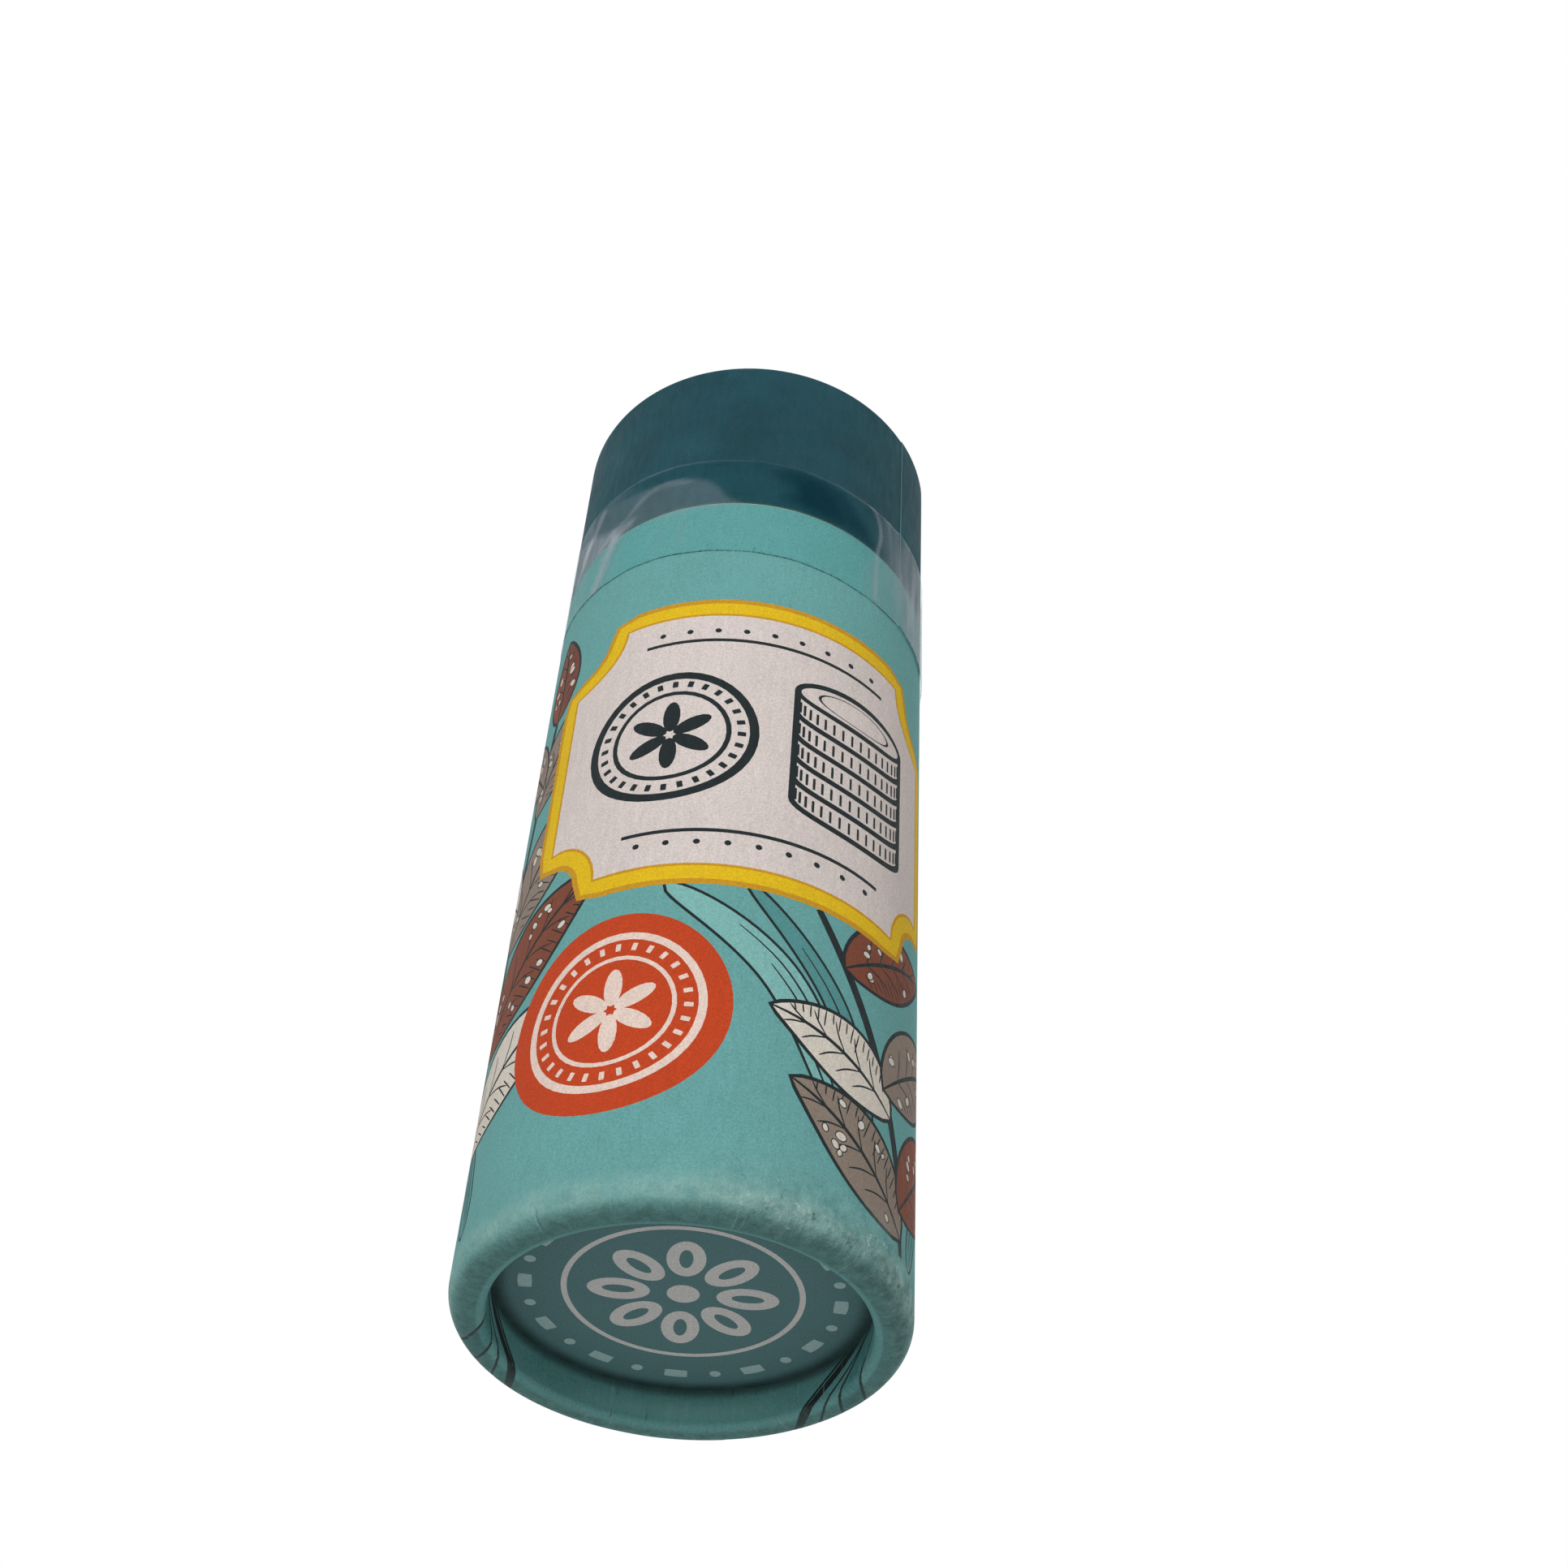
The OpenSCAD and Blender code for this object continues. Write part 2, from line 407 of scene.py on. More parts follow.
def wornRim(f, colour, bump):
    # Scuffs, nicks and cracks that gather on the rolled edge and thin out above it. Painted highlights
    # lie on the lip's inner fold and on the far wall, painted shade on the far lip and by the disc.
    wear = rimWear
    height, radius, wayX, wayY, sheet = rimPlaces(f)
    outside = f.rise(radius, wear["lip"][0], tubeR - wear["outerSoft"])
    inside = f.spread(radius, wear["lip"][0] * mm, wear["lip"][1] * mm, 1.0, 0.0)
    under = f.fall(height, *wear["under"])
    near = f.fall(height, *wear["fade"])
    edge = f.times(f.rise(height, 0.0, wear["edge"][0]), f.fall(height, *wear["edge"]), outside)
    facing = f.maths("ADD", f.times(wayX, wear["knockedWay"][0]), f.times(wayY, wear["knockedWay"][1]))
    knocked = f.times(f.spots(*wear["knocks"]), f.spread(facing, *wear["knockedSide"]))
    reach = f.times(f.maths("MAXIMUM", f.times(near, wear["aboveShare"], outside), edge), knocked)

    rubs = f.noise(*wear["rubNoise"])
    rub = f.times(edge, f.spread(rubs, *wear["rubs"]), f.spots(*wear["rubPatches"]), wear["rubShare"])
    scuffs = f.noise(*wear["scuffNoise"])
    limit = f.maths("SUBTRACT", f.spread(reach, *wear["scuffLimit"]), f.spread(reach, *wear["scuffMore"]))
    light = f.spread(scuffs, limit, f.maths("ADD", limit, wear["scuffSoft"]), 0.0, wear["scuffShare"])
    nicks = f.noise(*wear["nickNoise"], f.stretched(wear["nickStretch"]))
    limit = f.spread(reach, *wear["nickLimit"])
    dark = f.spread(nicks, f.maths("SUBTRACT", limit, wear["nickSoft"]), limit, wear["nickShare"], 0.0)

    dents = f.noise(*wear["dentNoise"])
    mottled = f.times(reach, f.spread(facing, *wear["mottled"]))
    high = f.spread(dents, *wear["dents"])
    deep = f.times(mottled, f.maths("SUBTRACT", 1.0, high))
    # a stain low on the lip, reaching further in on the far side as painted shade
    leftStart, rightStart, end = [r * mm for r in wear["stainAndShadeRadius"]]
    start = f.spread(wayY, *wear["stainAndShadeTurn"], leftStart, rightStart)
    stainedAndShaded = f.times(f.spots(*wear["stainAndShadeSpots"]), f.fall(height, *wear["stainAndShadeHeight"]),
                      f.spread(radius, start, end, 0.0, 1.0, smooth=True))

    where = f.maths("MAXIMUM", under, inside)
    cracks = f.spots(*wear["cracks"], sheet)
    fibres = f.noise(*wear["fibreNoise"], sheet)
    # painted highlight along the lip's inner fold
    foldHighlight = f.times(f.fall(radius, *wear["foldHighlightRadius"]), f.fall(height, *wear["foldHighlightHeight"]),
                   f.spread(rubs, *wear["foldHighlightShare"]))
    # painted highlight on the far wall of the recess, broken up by the fibres
    wallHighlight = f.times(f.rise(height, *wear["wallHighlightStart"]), f.fall(height, *wear["wallHighlightEnd"]),
                     f.spread(wayY, *wear["wallHighlightTurn"], smooth=True), inside,
                     f.spread(fibres, *wear["wallHighlightShare"]))
    # painted shade on the wall where it meets the disc
    rootLow, rootHigh, rootShare = wear["rootShade"]
    rootShade = f.times(inside, f.rise(height, recessZ - rootLow, recessZ - rootHigh, 0.0, rootShare))

    layers = (
        (rub, "worn"), (light, "scratched"), (dark, "dirt"), (f.times(mottled, high), "worn"),
        (deep, "stainAndShade"), (stainedAndShaded, "stainAndShade"), (f.times(cracks, where, wear["crackShare"]), "dirt"),
        (f.times(f.spread(fibres, *wear["fibres"]), where), "worn"), (foldHighlight, "worn"),
        (wallHighlight, "wallHighlight"), (rootShade, "dirt"),
    )
    for share, ink in layers:
        colour = f.over(share, colour, wear[ink])
    bump = f.relief(scuffs, wear["scuffDepth"], bump)
    bump = f.relief(f.times(f.maths("SUBTRACT", dents, 0.5), reach), wear["dentDepth"], bump)
    return colour, f.relief(f.times(cracks, -1.0), wear["crackDepth"], bump)


paperLook = {
    "grain": (0.16, 2.0, 0.7),
    "grainTone": (0.25, 0.75, 0.8, 1.2),
    "grainDepth": 0.01,
    "fibres": (0.5, 4.0, 0.6),
    "fibreStretch": (1.0, 1.0, 0.22),
    "fibreTone": (0.95, 1.05),
    "fibreDepth": 0.016,
    "blotchSize": 9.0,
    "blotchTone": (0.965, 1.03),
    "roughness": (0.66, 0.86),
    "gloss": 0.22,
    # colour and spots of the painted shade in a corner
    "cornerShade": (40, 62, 62),
    "cornerShadeSpots": ((1.2, 4.0, 0.7), (0.3, 0.6, 0.8, 1.0)),
}


def paperFinish(name, colour=None, look=paperLook, worn=False, corner=None):
    # Printed paper. Without a colour it shows the sheet's own inks. Between the two radii of the
    # corner, in mm, painted shade sets in.
    f = Finish(name)
    base = f.add("VertexColor", layer_name="ink").outputs["Color"] if colour is None else paint(*colour)
    grain = f.noise(*look["grain"])
    fibres = f.noise(*look["fibres"], f.stretched(look["fibreStretch"]))
    tone = f.times(f.spread(grain, *look["grainTone"]), f.vary(fibres, *look["fibreTone"]),
                   f.vary(f.noise(look["blotchSize"]), *look["blotchTone"]))
    colour = f.toned(base, tone)
    bump = f.relief(fibres, look["fibreDepth"], f.relief(grain, look["grainDepth"]))
    if worn:
        colour, bump = wornRim(f, colour, bump)
    # painted shade towards the corner, broken up in spots
    if corner is not None:
        cornerShade = f.times(f.rise(f.radius(), *corner), f.spots(*look["cornerShadeSpots"]))
        colour = f.over(cornerShade, colour, look["cornerShade"])
    return f.finish(colour, f.vary(fibres, *look["roughness"]), bump, look["gloss"])


boardLook = {
    "colour": (204, 196, 178),
    "fibres": (0.35, 5.0, 0.7),
    "fibreTone": (0.86, 1.1),
    "fibreDepth": 0.03,
    "plySize": 0.22,
    "plyTone": (0.95, 1.03),
    "fleck": (120, 106, 88),
    "flecks": ((0.9, 4.0, 0.8), (0.3, 0.36, 0.35, 0.0)),
    "fleckStretch": (1.0, 1.0, 0.5),
    "roughness": (0.82, 0.95),
    "gloss": 0.25,
}


def boardFinish(name, look=boardLook):  # raw board: grey-buff fibre in plies, with dark flecks
    f = Finish(name)
    fibres = f.noise(*look["fibres"])
    plies = f.maths("SINE", f.times(f.radius(), 2 * pi / (look["plySize"] * mm)))
    tone = f.times(f.vary(fibres, *look["fibreTone"]), f.spread(plies, -1.0, 1.0, *look["plyTone"]))
    flecks = f.spots(*look["flecks"], f.stretched(look["fleckStretch"]))
    colour = f.over(flecks, f.toned(paint(*look["colour"]), tone), look["fleck"])
    bump = f.relief(fibres, look["fibreDepth"])
    return f.finish(colour, f.vary(fibres, *look["roughness"]), bump, look["gloss"])


neckLook = {
    "colour": (226, 222, 212),
    "fibres": (0.3, 4.0, 0.65),
    "fibreTone": (0.95, 1.03),
    "fibreDepth": 0.012,
    "joint": (168, 158, 140),
    "jointPitch": 34.0,
    "jointWidth": 0.3,
    "jointShare": 0.6,
    "jointDepth": 0.06,
    "roughness": (0.62, 0.78),
}


def neckFinish(name, look=neckLook):  # white-lined board with the spiral butt joint of its outer ply
    f = Finish(name)
    fibres = f.noise(*look["fibres"])
    parts = f.split(f.place)
    turn = f.maths("DIVIDE", f.maths("ARCTAN2", parts["Y"], parts["X"]), 2 * pi)
    climb = f.maths("SUBTRACT", f.maths("DIVIDE", parts["Z"], look["jointPitch"] * mm), turn)
    phase = f.maths("ABSOLUTE", f.maths("SUBTRACT", f.maths("FRACT", climb), 0.5))
    joint = f.spread(phase, 0.0, look["jointWidth"] / look["jointPitch"], 1.0, 0.0, smooth=True)
    colour = f.toned(paint(*look["colour"]), f.vary(fibres, *look["fibreTone"]))
    colour = f.over(f.times(joint, look["jointShare"]), colour, look["joint"])
    groove = f.relief(f.times(joint, -1.0), look["jointDepth"])
    return f.finish(colour, f.vary(fibres, *look["roughness"]), f.relief(fibres, look["fibreDepth"], groove))


filmLook = {
    "tint": (0.9, 0.98, 0.98, 1),
    "wetTint": (0.52, 0.7, 0.74, 1),
    # colour of the painted reflections
    "reflectionColour": (182, 196, 205),
    "folds": (1.6, 3.0, 0.6),
    "foldStretch": (1.0, 1.0, 0.16),
    "foldDepth": 0.1,
    "reflectionFoldShare": (0.35, 0.65, 0.8, 1.15),
    "aslantReflection": (0.55, 0.9, 0.0, 0.34),
    "aslantReflectionFolds": (0.38, 0.6, 0.55, 1.0),
    "dirt": (34, 48, 50),
    "specks": (0.35, 4.0, 0.7),
    "edgeDirt": (0.36, 0.56, 0.2, 1.0),
    "strayDirt": (0.64, 0.68, 0.0, 0.6),
    "dirtShare": 0.75,
    "roughness": 0.4,
    "gloss": 0.12,
}


def tapeFinish(name, look=filmLook):
    # Clear film: what lies under it shows, darker where it clings. Painted reflections make it pale in
    # the listed patches and where it is seen aslant, and its edge holds dirt.
    f = Finish(name)
    f.shader.inputs["Base Color"].default_value = paint(*look["reflectionColour"])
    f.shader.inputs["Roughness"].default_value = look["roughness"]
    f.shader.inputs["Specular IOR Level"].default_value = look["gloss"]
    clear = f.add("BsdfTransparent")
    passing = f.add("BsdfTransparent")
    grime = f.add("BsdfDiffuse")
    grime.inputs["Color"].default_value = paint(*look["dirt"])

    painted = f.add("VertexColor", layer_name="marks")
    marks = f.add("SeparateColor")
    f.feed(marks.inputs[0], painted.outputs["Color"])
    f.feed(clear.inputs["Color"], f.blend(painted.outputs["Alpha"], look["tint"], look["wetTint"]))
    folds = f.noise(*look["folds"], f.stretched(look["foldStretch"]))
    f.feed(f.shader.inputs["Normal"], f.relief(folds, look["foldDepth"]))
    # painted reflections in the listed patches, broken up by the folds
    reflecting = f.times(marks.outputs["Green"], f.spread(folds, *look["reflectionFoldShare"]))
    # a painted reflection that grows where the film is seen aslant
    slant = f.add("LayerWeight")
    slant.inputs["Blend"].default_value = 0.5
    aslantReflection = f.times(f.spread(slant.outputs["Facing"], *look["aslantReflection"]), f.spread(folds, *look["aslantReflectionFolds"]))
    specks = f.noise(*look["specks"])
    dirt = f.times(marks.outputs["Red"], f.spread(specks, *look["edgeDirt"]))
    stray = f.times(marks.outputs["Blue"], f.spread(specks, *look["strayDirt"]))
    dirt = f.times(f.maths("MAXIMUM", dirt, stray), look["dirtShare"])

    side = f.add("NewGeometry")
    film = f.layered(f.maths("MAXIMUM", reflecting, aslantReflection), clear.outputs[0], f.shader.outputs[0])
    film = f.layered(dirt, film, grime.outputs[0])
    film = f.layered(side.outputs["Backfacing"], film, passing.outputs[0])
    f.feed(f.tree.nodes["Material Output"].inputs["Surface"], film)
    return f.material


coinLook = {
    "bronze": (206, 168, 96),
    "worn": (232, 204, 140),
    "wornShare": (0.35, 1.0, 0.0, 0.8),
    "hollow": (112, 82, 44),
    "hollowShare": (0.0, 0.34, 0.75, 0.0),
    "tarnish": ((3.5, 4.0, 0.6), (0.3, 0.65, 0.55, 1.0)),
    "scratches": (0.8, 4.0, 0.7),
    "scratchStretch": (1.0, 0.08, 1.0),
    "scratchDepth": 0.012,
    "roughness": (0.24, 0.42),
}


def coinFinish(name, look=coinLook):  # struck bronze: bright on what stands up, dull in the hollows
    f = Finish(name)
    struck = f.add("VertexColor", layer_name="struck").outputs["Color"]
    scratches = f.noise(*look["scratches"], f.stretched(look["scratchStretch"]))
    colour = f.over(f.spread(struck, *look["wornShare"]), paint(*look["bronze"]), look["worn"])
    dull = f.times(f.spread(struck, *look["hollowShare"]), f.spots(*look["tarnish"]))
    f.shader.inputs["Metallic"].default_value = 1.0
    return f.finish(f.over(dull, colour, look["hollow"]), f.vary(scratches, *look["roughness"]),
                    f.relief(scratches, look["scratchDepth"]))


printedPaper = paperFinish("printedPaper", worn=True)
# painted shade at the disc's edge, where it meets the recess wall
discPaper = paperFinish("discPaper", corner=(11.9, 13.2))
capPaper = paperFinish("capPaper", look=dict(paperLook, blotchSize=6.0, blotchTone=(0.82, 1.18)))
linerPaper = paperFinish("linerPaper", (232, 229, 222))
rawBoard = boardFinish("rawBoard")
neckBoard = neckFinish("neckBoard")
clearTape = tapeFinish("clearTape")
coinBronze = coinFinish("coinBronze")
print("finishes ready:", len(bpy.data.materials))


# Printed shapes, drawn flat in millimetres: s runs round the tube from its front, h runs up it.
# Each is an ink and an outline, and a later one lies over an earlier one.

def smoothPath(points, count, closed=False):  # an even curve through given points
    p = np.array(points, float)
    n = len(p)
    spans = n if closed else n - 1
    out = []
    for k in range(count):
        x = k / (count if closed else count - 1) * spans
        i = min(int(x), spans - 1)
        t = x - i
        if closed:
            a, b, c, d = p[(i - 1) % n], p[i], p[(i + 1) % n], p[(i + 2) % n]
        else:
            a, b, c, d = p[max(i - 1, 0)], p[i], p[i + 1], p[min(i + 2, n - 1)]
        out.append(0.5 * (2 * b + (c - a) * t + (2 * a - 5 * b + 4 * c - d) * t**2
                          + (3 * b - a - 3 * c + d) * t**3))
    return np.array(out)


def onRing(radius, angle):
    return radius * cos(angle), radius * sin(angle)


def roundSpot(centre, radius, count=28, squash=1.0, turn=0.0):
    a = np.linspace(0, 2 * np.pi, count, endpoint=False)
    x, y = radius * np.cos(a), radius * squash * np.sin(a)
    c, s = cos(turn), sin(turn)
    return np.stack([centre[0] + x * c - y * s, centre[1] + x * s + y * c], 1)


def sideways(path):  # unit vectors to the left of a path
    d = np.gradient(path, axis=0)
    d /= np.linalg.norm(d, axis=1)[:, None] + 1e-9
    return np.stack([-d[:, 1], d[:, 0]], 1)


def ribbon(path, half):  # outline of a band that is that wide on either side of its path
    side = sideways(path) * half[:, None]
    return np.concatenate([path + side, (path - side)[::-1]])


def stroke(points, width, tip=0.15, count=None):  # a line that swells in its middle and thins at its ends
    count = count or max(6, 4 * len(points))
    t = np.linspace(0, 1, count)
    half = width / 2 * (tip + (1 - tip) * np.sin(np.pi * np.clip(t * 0.92 + 0.04, 0, 1)) ** 0.6)
    return ribbon(smoothPath(points, count), half)


def grown(outline, by):  # the outline moved outwards
    d = np.roll(outline, -1, 0) - np.roll(outline, 1, 0)
    d /= np.linalg.norm(d, axis=1)[:, None] + 1e-9
    turnWay = np.sign(np.sum(outline[:, 0] * np.roll(outline[:, 1], -1)
                             - outline[:, 1] * np.roll(outline[:, 0], -1)))
    return outline + turnWay * by * np.stack([d[:, 1], -d[:, 0]], 1)


def denser(outline, step=0.8):  # extra points along straight sides, so that they bend round the tube
    out = []
    for a, b in zip(outline, np.roll(outline, -1, 0)):
        n = max(1, int(np.linalg.norm(b - a) / step))
        out += [a + (b - a) * k / n for k in range(n)]
    return np.array(out)


def plaque(centre, width, height, scoop, count=10):  # a label with scooped corners
    out = []
    for wayX, wayY, start in ((1, 1, 270), (-1, 1, 360), (-1, -1, 90), (1, -1, 180)):
        x, y = centre[0] + wayX * width / 2, centre[1] + wayY * height / 2
        for k in range(count + 1):
            a = radians(start - 90 * k / count)
            out.append((x + scoop * cos(a), y + scoop * sin(a)))
    return denser(np.array(out))


leafLook = {
    "outlineWidth": 0.32,
    "ribWidth": 0.33,
    "veinWidth": 0.154,
    "hatchWidth": 0.13,
    "hatchReach": (0.3, 0.62),
    "spotRadius": 0.38,
    "spotSize": (0.6, 1.25),
    "spotReach": (0.25, 0.75),
    "spotSquash": 0.72,
    "spotEdge": 0.09,
}


def leaf(base, angle, length, width, fill, bend=0.0, spots=0, seed=0):
    # One pointed leaf: inked outline, fill, hatching along one side, veins, midrib and pale spots
    look = leafLook
    chance = random.Random(seed)
    t = np.linspace(0, 1, 22)
    last = len(t) - 1
    turn = radians(angle) + radians(bend) * (t - 0.5)
    steps = np.stack([np.cos(turn), np.sin(turn)], 1) * length / last
    rib = np.array(base) + np.concatenate([[[0, 0]], np.cumsum(steps[:-1], 0)])
    half = width / 2 * np.sin(np.pi * t ** 0.8) ** 0.85
    side = sideways(rib)
    left, right = rib + side * half[:, None], rib - side * half[:, None]
    outline = np.concatenate([left[:-1], right[:0:-1]])
    shapes = [("ink", grown(outline, look["outlineWidth"])), (fill, outline)]
    for k in range(3, 19):
        inner = rib[k] - side[k] * half[k] * chance.uniform(*look["hatchReach"])
        outer = rib[k] - side[k] * half[k] * 0.97 + steps[k] * 0.5
        line = [inner, (inner + outer) / 2 + side[k] * 0.05, outer]
        shapes.append(("ink", stroke(line, look["hatchWidth"], 0.3, 6)))
    for k in range(4, 17, 3):
        for way in (1, -1):
            tip = rib[min(k + 3, last)] + way * side[k] * half[min(k + 2, last)] * 0.72
            line = [rib[k], (rib[k] + tip) / 2 + steps[k] * 0.35, tip]
            shapes.append(("ink", stroke(line, look["veinWidth"], 0.15, 8)))
    shapes.append(("ink", stroke(rib[::3], look["ribWidth"], 0.2, 20)))
    for _ in range(spots):
        k = chance.randrange(3, 17)
        way = chance.choice((1, 1, -1))
        place = rib[k] + way * side[k] * half[k] * chance.uniform(*look["spotReach"])
        size = look["spotRadius"] * chance.uniform(*look["spotSize"])
        spot = roundSpot(place, size, 10, look["spotSquash"], chance.uniform(0, 3.1))
        shapes += [("ink", grown(spot, look["spotEdge"])), ("cream", spot)]
    return shapes


bladeLook = {
    "outlineWidth": 0.24,
    "lineWidth": 0.2,
    "lineStart": (0.08, 0.1),  # share of the blade before the first line, and what each further one adds
    "lineEnd": (0.86, 0.14),
    "front": (  # points, width, ink and lines of each blade between the stems
        (((19.2, 3.0), (20.2, 6.5), (22.4, 11.5), (27.0, 16.0)), 2.2, "deepTeal", 2),
        (((22.8, 3.4), (24.4, 7.0), (27.0, 11.0), (31.0, 13.4)), 2.2, "teal", 2),
        (((11.0, 7.4), (9.2, 12.4), (4.6, 20.0), (-4.0, 27.0)), 3.2, "paleTeal", 3),
        (((13.0, 8.2), (11.8, 13.4), (9.0, 19.5), (2.0, 27.5)), 2.0, "deepTeal", 1),
        (((-20.4, 3.2), (-20.8, 6.5), (-23.0, 12.0), (-30.0, 19.0)), 2.4, "deepTeal", 3),
        (((-23.6, 2.8), (-25.4, 5.6), (-31.0, 10.0), (-41.0, 13.0)), 2.2, "paleTeal", 3),
    ),
    "tuftPlaces": ((38.0, 1), (-34.0, -1)),  # where round the tube, and which way it leans
    "tuft": ((-17.0, -6.6), (-9.0, -4.6), (-1.5, -1.2), (5.0, 5.0), (14.0, 12.0)),
    "tuftWidth": 3.0,
    "secondWidth": 1.7,
    "secondMove": (-3.8, 1.1),
    "edgeMove": (1.4, -0.5),
    "edgeWidth": 0.66,
}


def blade(points, width, fill, lines):  # a grass blade: inked edge, fill and a few long lines in it
    look = bladeLook
    count = 10 * len(points)
    path = smoothPath(points, count)
    half = width / 2 * np.sin(np.pi * np.linspace(0, 1, count)) ** 0.55
    side = sideways(path)
    outline = ribbon(path, half)
    shapes = [("ink", grown(outline, look["outlineWidth"])), (fill, outline)]
    for k in range(lines):
        off = (k + 1) / (lines + 1) * 2 - 1
        first = int(count * (look["lineStart"][0] + look["lineStart"][1] * k))
        last = int(count * (look["lineEnd"][0] - look["lineEnd"][1] * k))
        line = path[first:last] + side[first:last] * (half[first:last] * off)[:, None]
        shapes.append(("ink", stroke(line[::4], look["lineWidth"], 0.15, 26)))
    return shapes


def grassBlades():  # blades between the stems, and two tufts that rise out of the recess and over the rim
    look = bladeLook
    shapes = []
    for points, width, fill, lines in look["front"]:
        shapes += blade(points, width, fill, lines)
    for start, lean in look["tuftPlaces"]:
        path = [(start + s * lean, h) for s, h in look["tuft"]]
        shapes += blade(path, look["tuftWidth"], "teal", 1)
        move, share = look["secondMove"]
        shapes += blade([(s + move * lean, h * share) for s, h in path], look["secondWidth"], "deepTeal", 0)
        move, down = look["edgeMove"]
        edge = smoothPath([(s + move * lean, h + down) for s, h in path], 40)[4:24]
        shapes.append(("ink", stroke(edge, look["edgeWidth"], 0.05)))
    return shapes


signLook = {  # shares of the sign's radius, or of its line's width
    "ticks": 28,
    "tickReach": (0.8, 0.85, 0.9),
    "tickWidth": 0.62,
    "innerRing": 0.7,
    "innerWidth": 0.55,
    "petals": 6,
    "petalPlace": 0.3,
    "petalSize": 0.25,
    "petalSquash": 0.42,
    "stackThick": 0.42,
    "stackSquash": 0.3,
    "reedWidth": 0.42,
    "reedReach": (0.22, 0.47, 0.72),
    "stackRing": 0.66,
}


def ringLine(centre, radius, width, colour, under, count=44, squash=1.0):
    return [(colour, roundSpot(centre, radius + width / 2, count, squash)),
            (under, roundSpot(centre, radius - width / 2, count, squash))]


def coinSign(centre, radius, line, colour, under):  # a plain coin: two rings, short ticks, a star of petals
    look = signLook
    shapes = ringLine(centre, radius, line, colour, under)
    for k in range(look["ticks"]):
        way = np.array(onRing(1.0, 2 * pi * k / look["ticks"]))
        ends = [np.array(centre) + way * radius * q for q in look["tickReach"]]
        shapes.append((colour, stroke(ends, line * look["tickWidth"], 0.9, 4)))
    shapes += ringLine(centre, radius * look["innerRing"], line * look["innerWidth"], colour, under, 36)
    for k in range(look["petals"]):
        a = 2 * pi * (k + 0.5) / look["petals"]
        middle = np.array(centre) + np.array(onRing(radius * look["petalPlace"], a))
        shapes.append((colour, roundSpot(middle, radius * look["petalSize"], 16, look["petalSquash"], a)))
    return shapes


def coinStackSign(centre, radius, line, count, colour, under):  # a side view of a few stacked coins
    look = signLook
    x, y = centre
    thick, drop = radius * look["stackThick"], radius * look["stackSquash"]
    shapes = []
    down = np.linspace(pi, 2 * pi, 20)
    for k in range(count):
        low = y + k * thick
        front = np.stack([x + radius * np.cos(down), low + drop * np.sin(down)], 1)
        back = np.stack([x - radius * np.cos(down), low + thick - drop * np.sin(down)], 1)
        side = np.concatenate([front, back])
        shapes += [(colour, grown(side, line / 2)), (under, grown(side, -line / 2))]
        for foot in front[2:18]:
            ends = [foot + np.array([0, thick * q]) for q in look["reedReach"]]
            shapes.append((colour, stroke(ends, line * look["reedWidth"], 0.9, 4)))
    top = (x, y + count * thick)
    for ink, half in ((colour, line / 2), (under, -line / 2)):
        shapes.append((ink, roundSpot(top, radius + half, 44, (drop + half) / (radius + half))))
    ring = radius * look["stackRing"]
    return shapes + ringLine(top, ring, line / 2, colour, under, 36, look["stackSquash"])


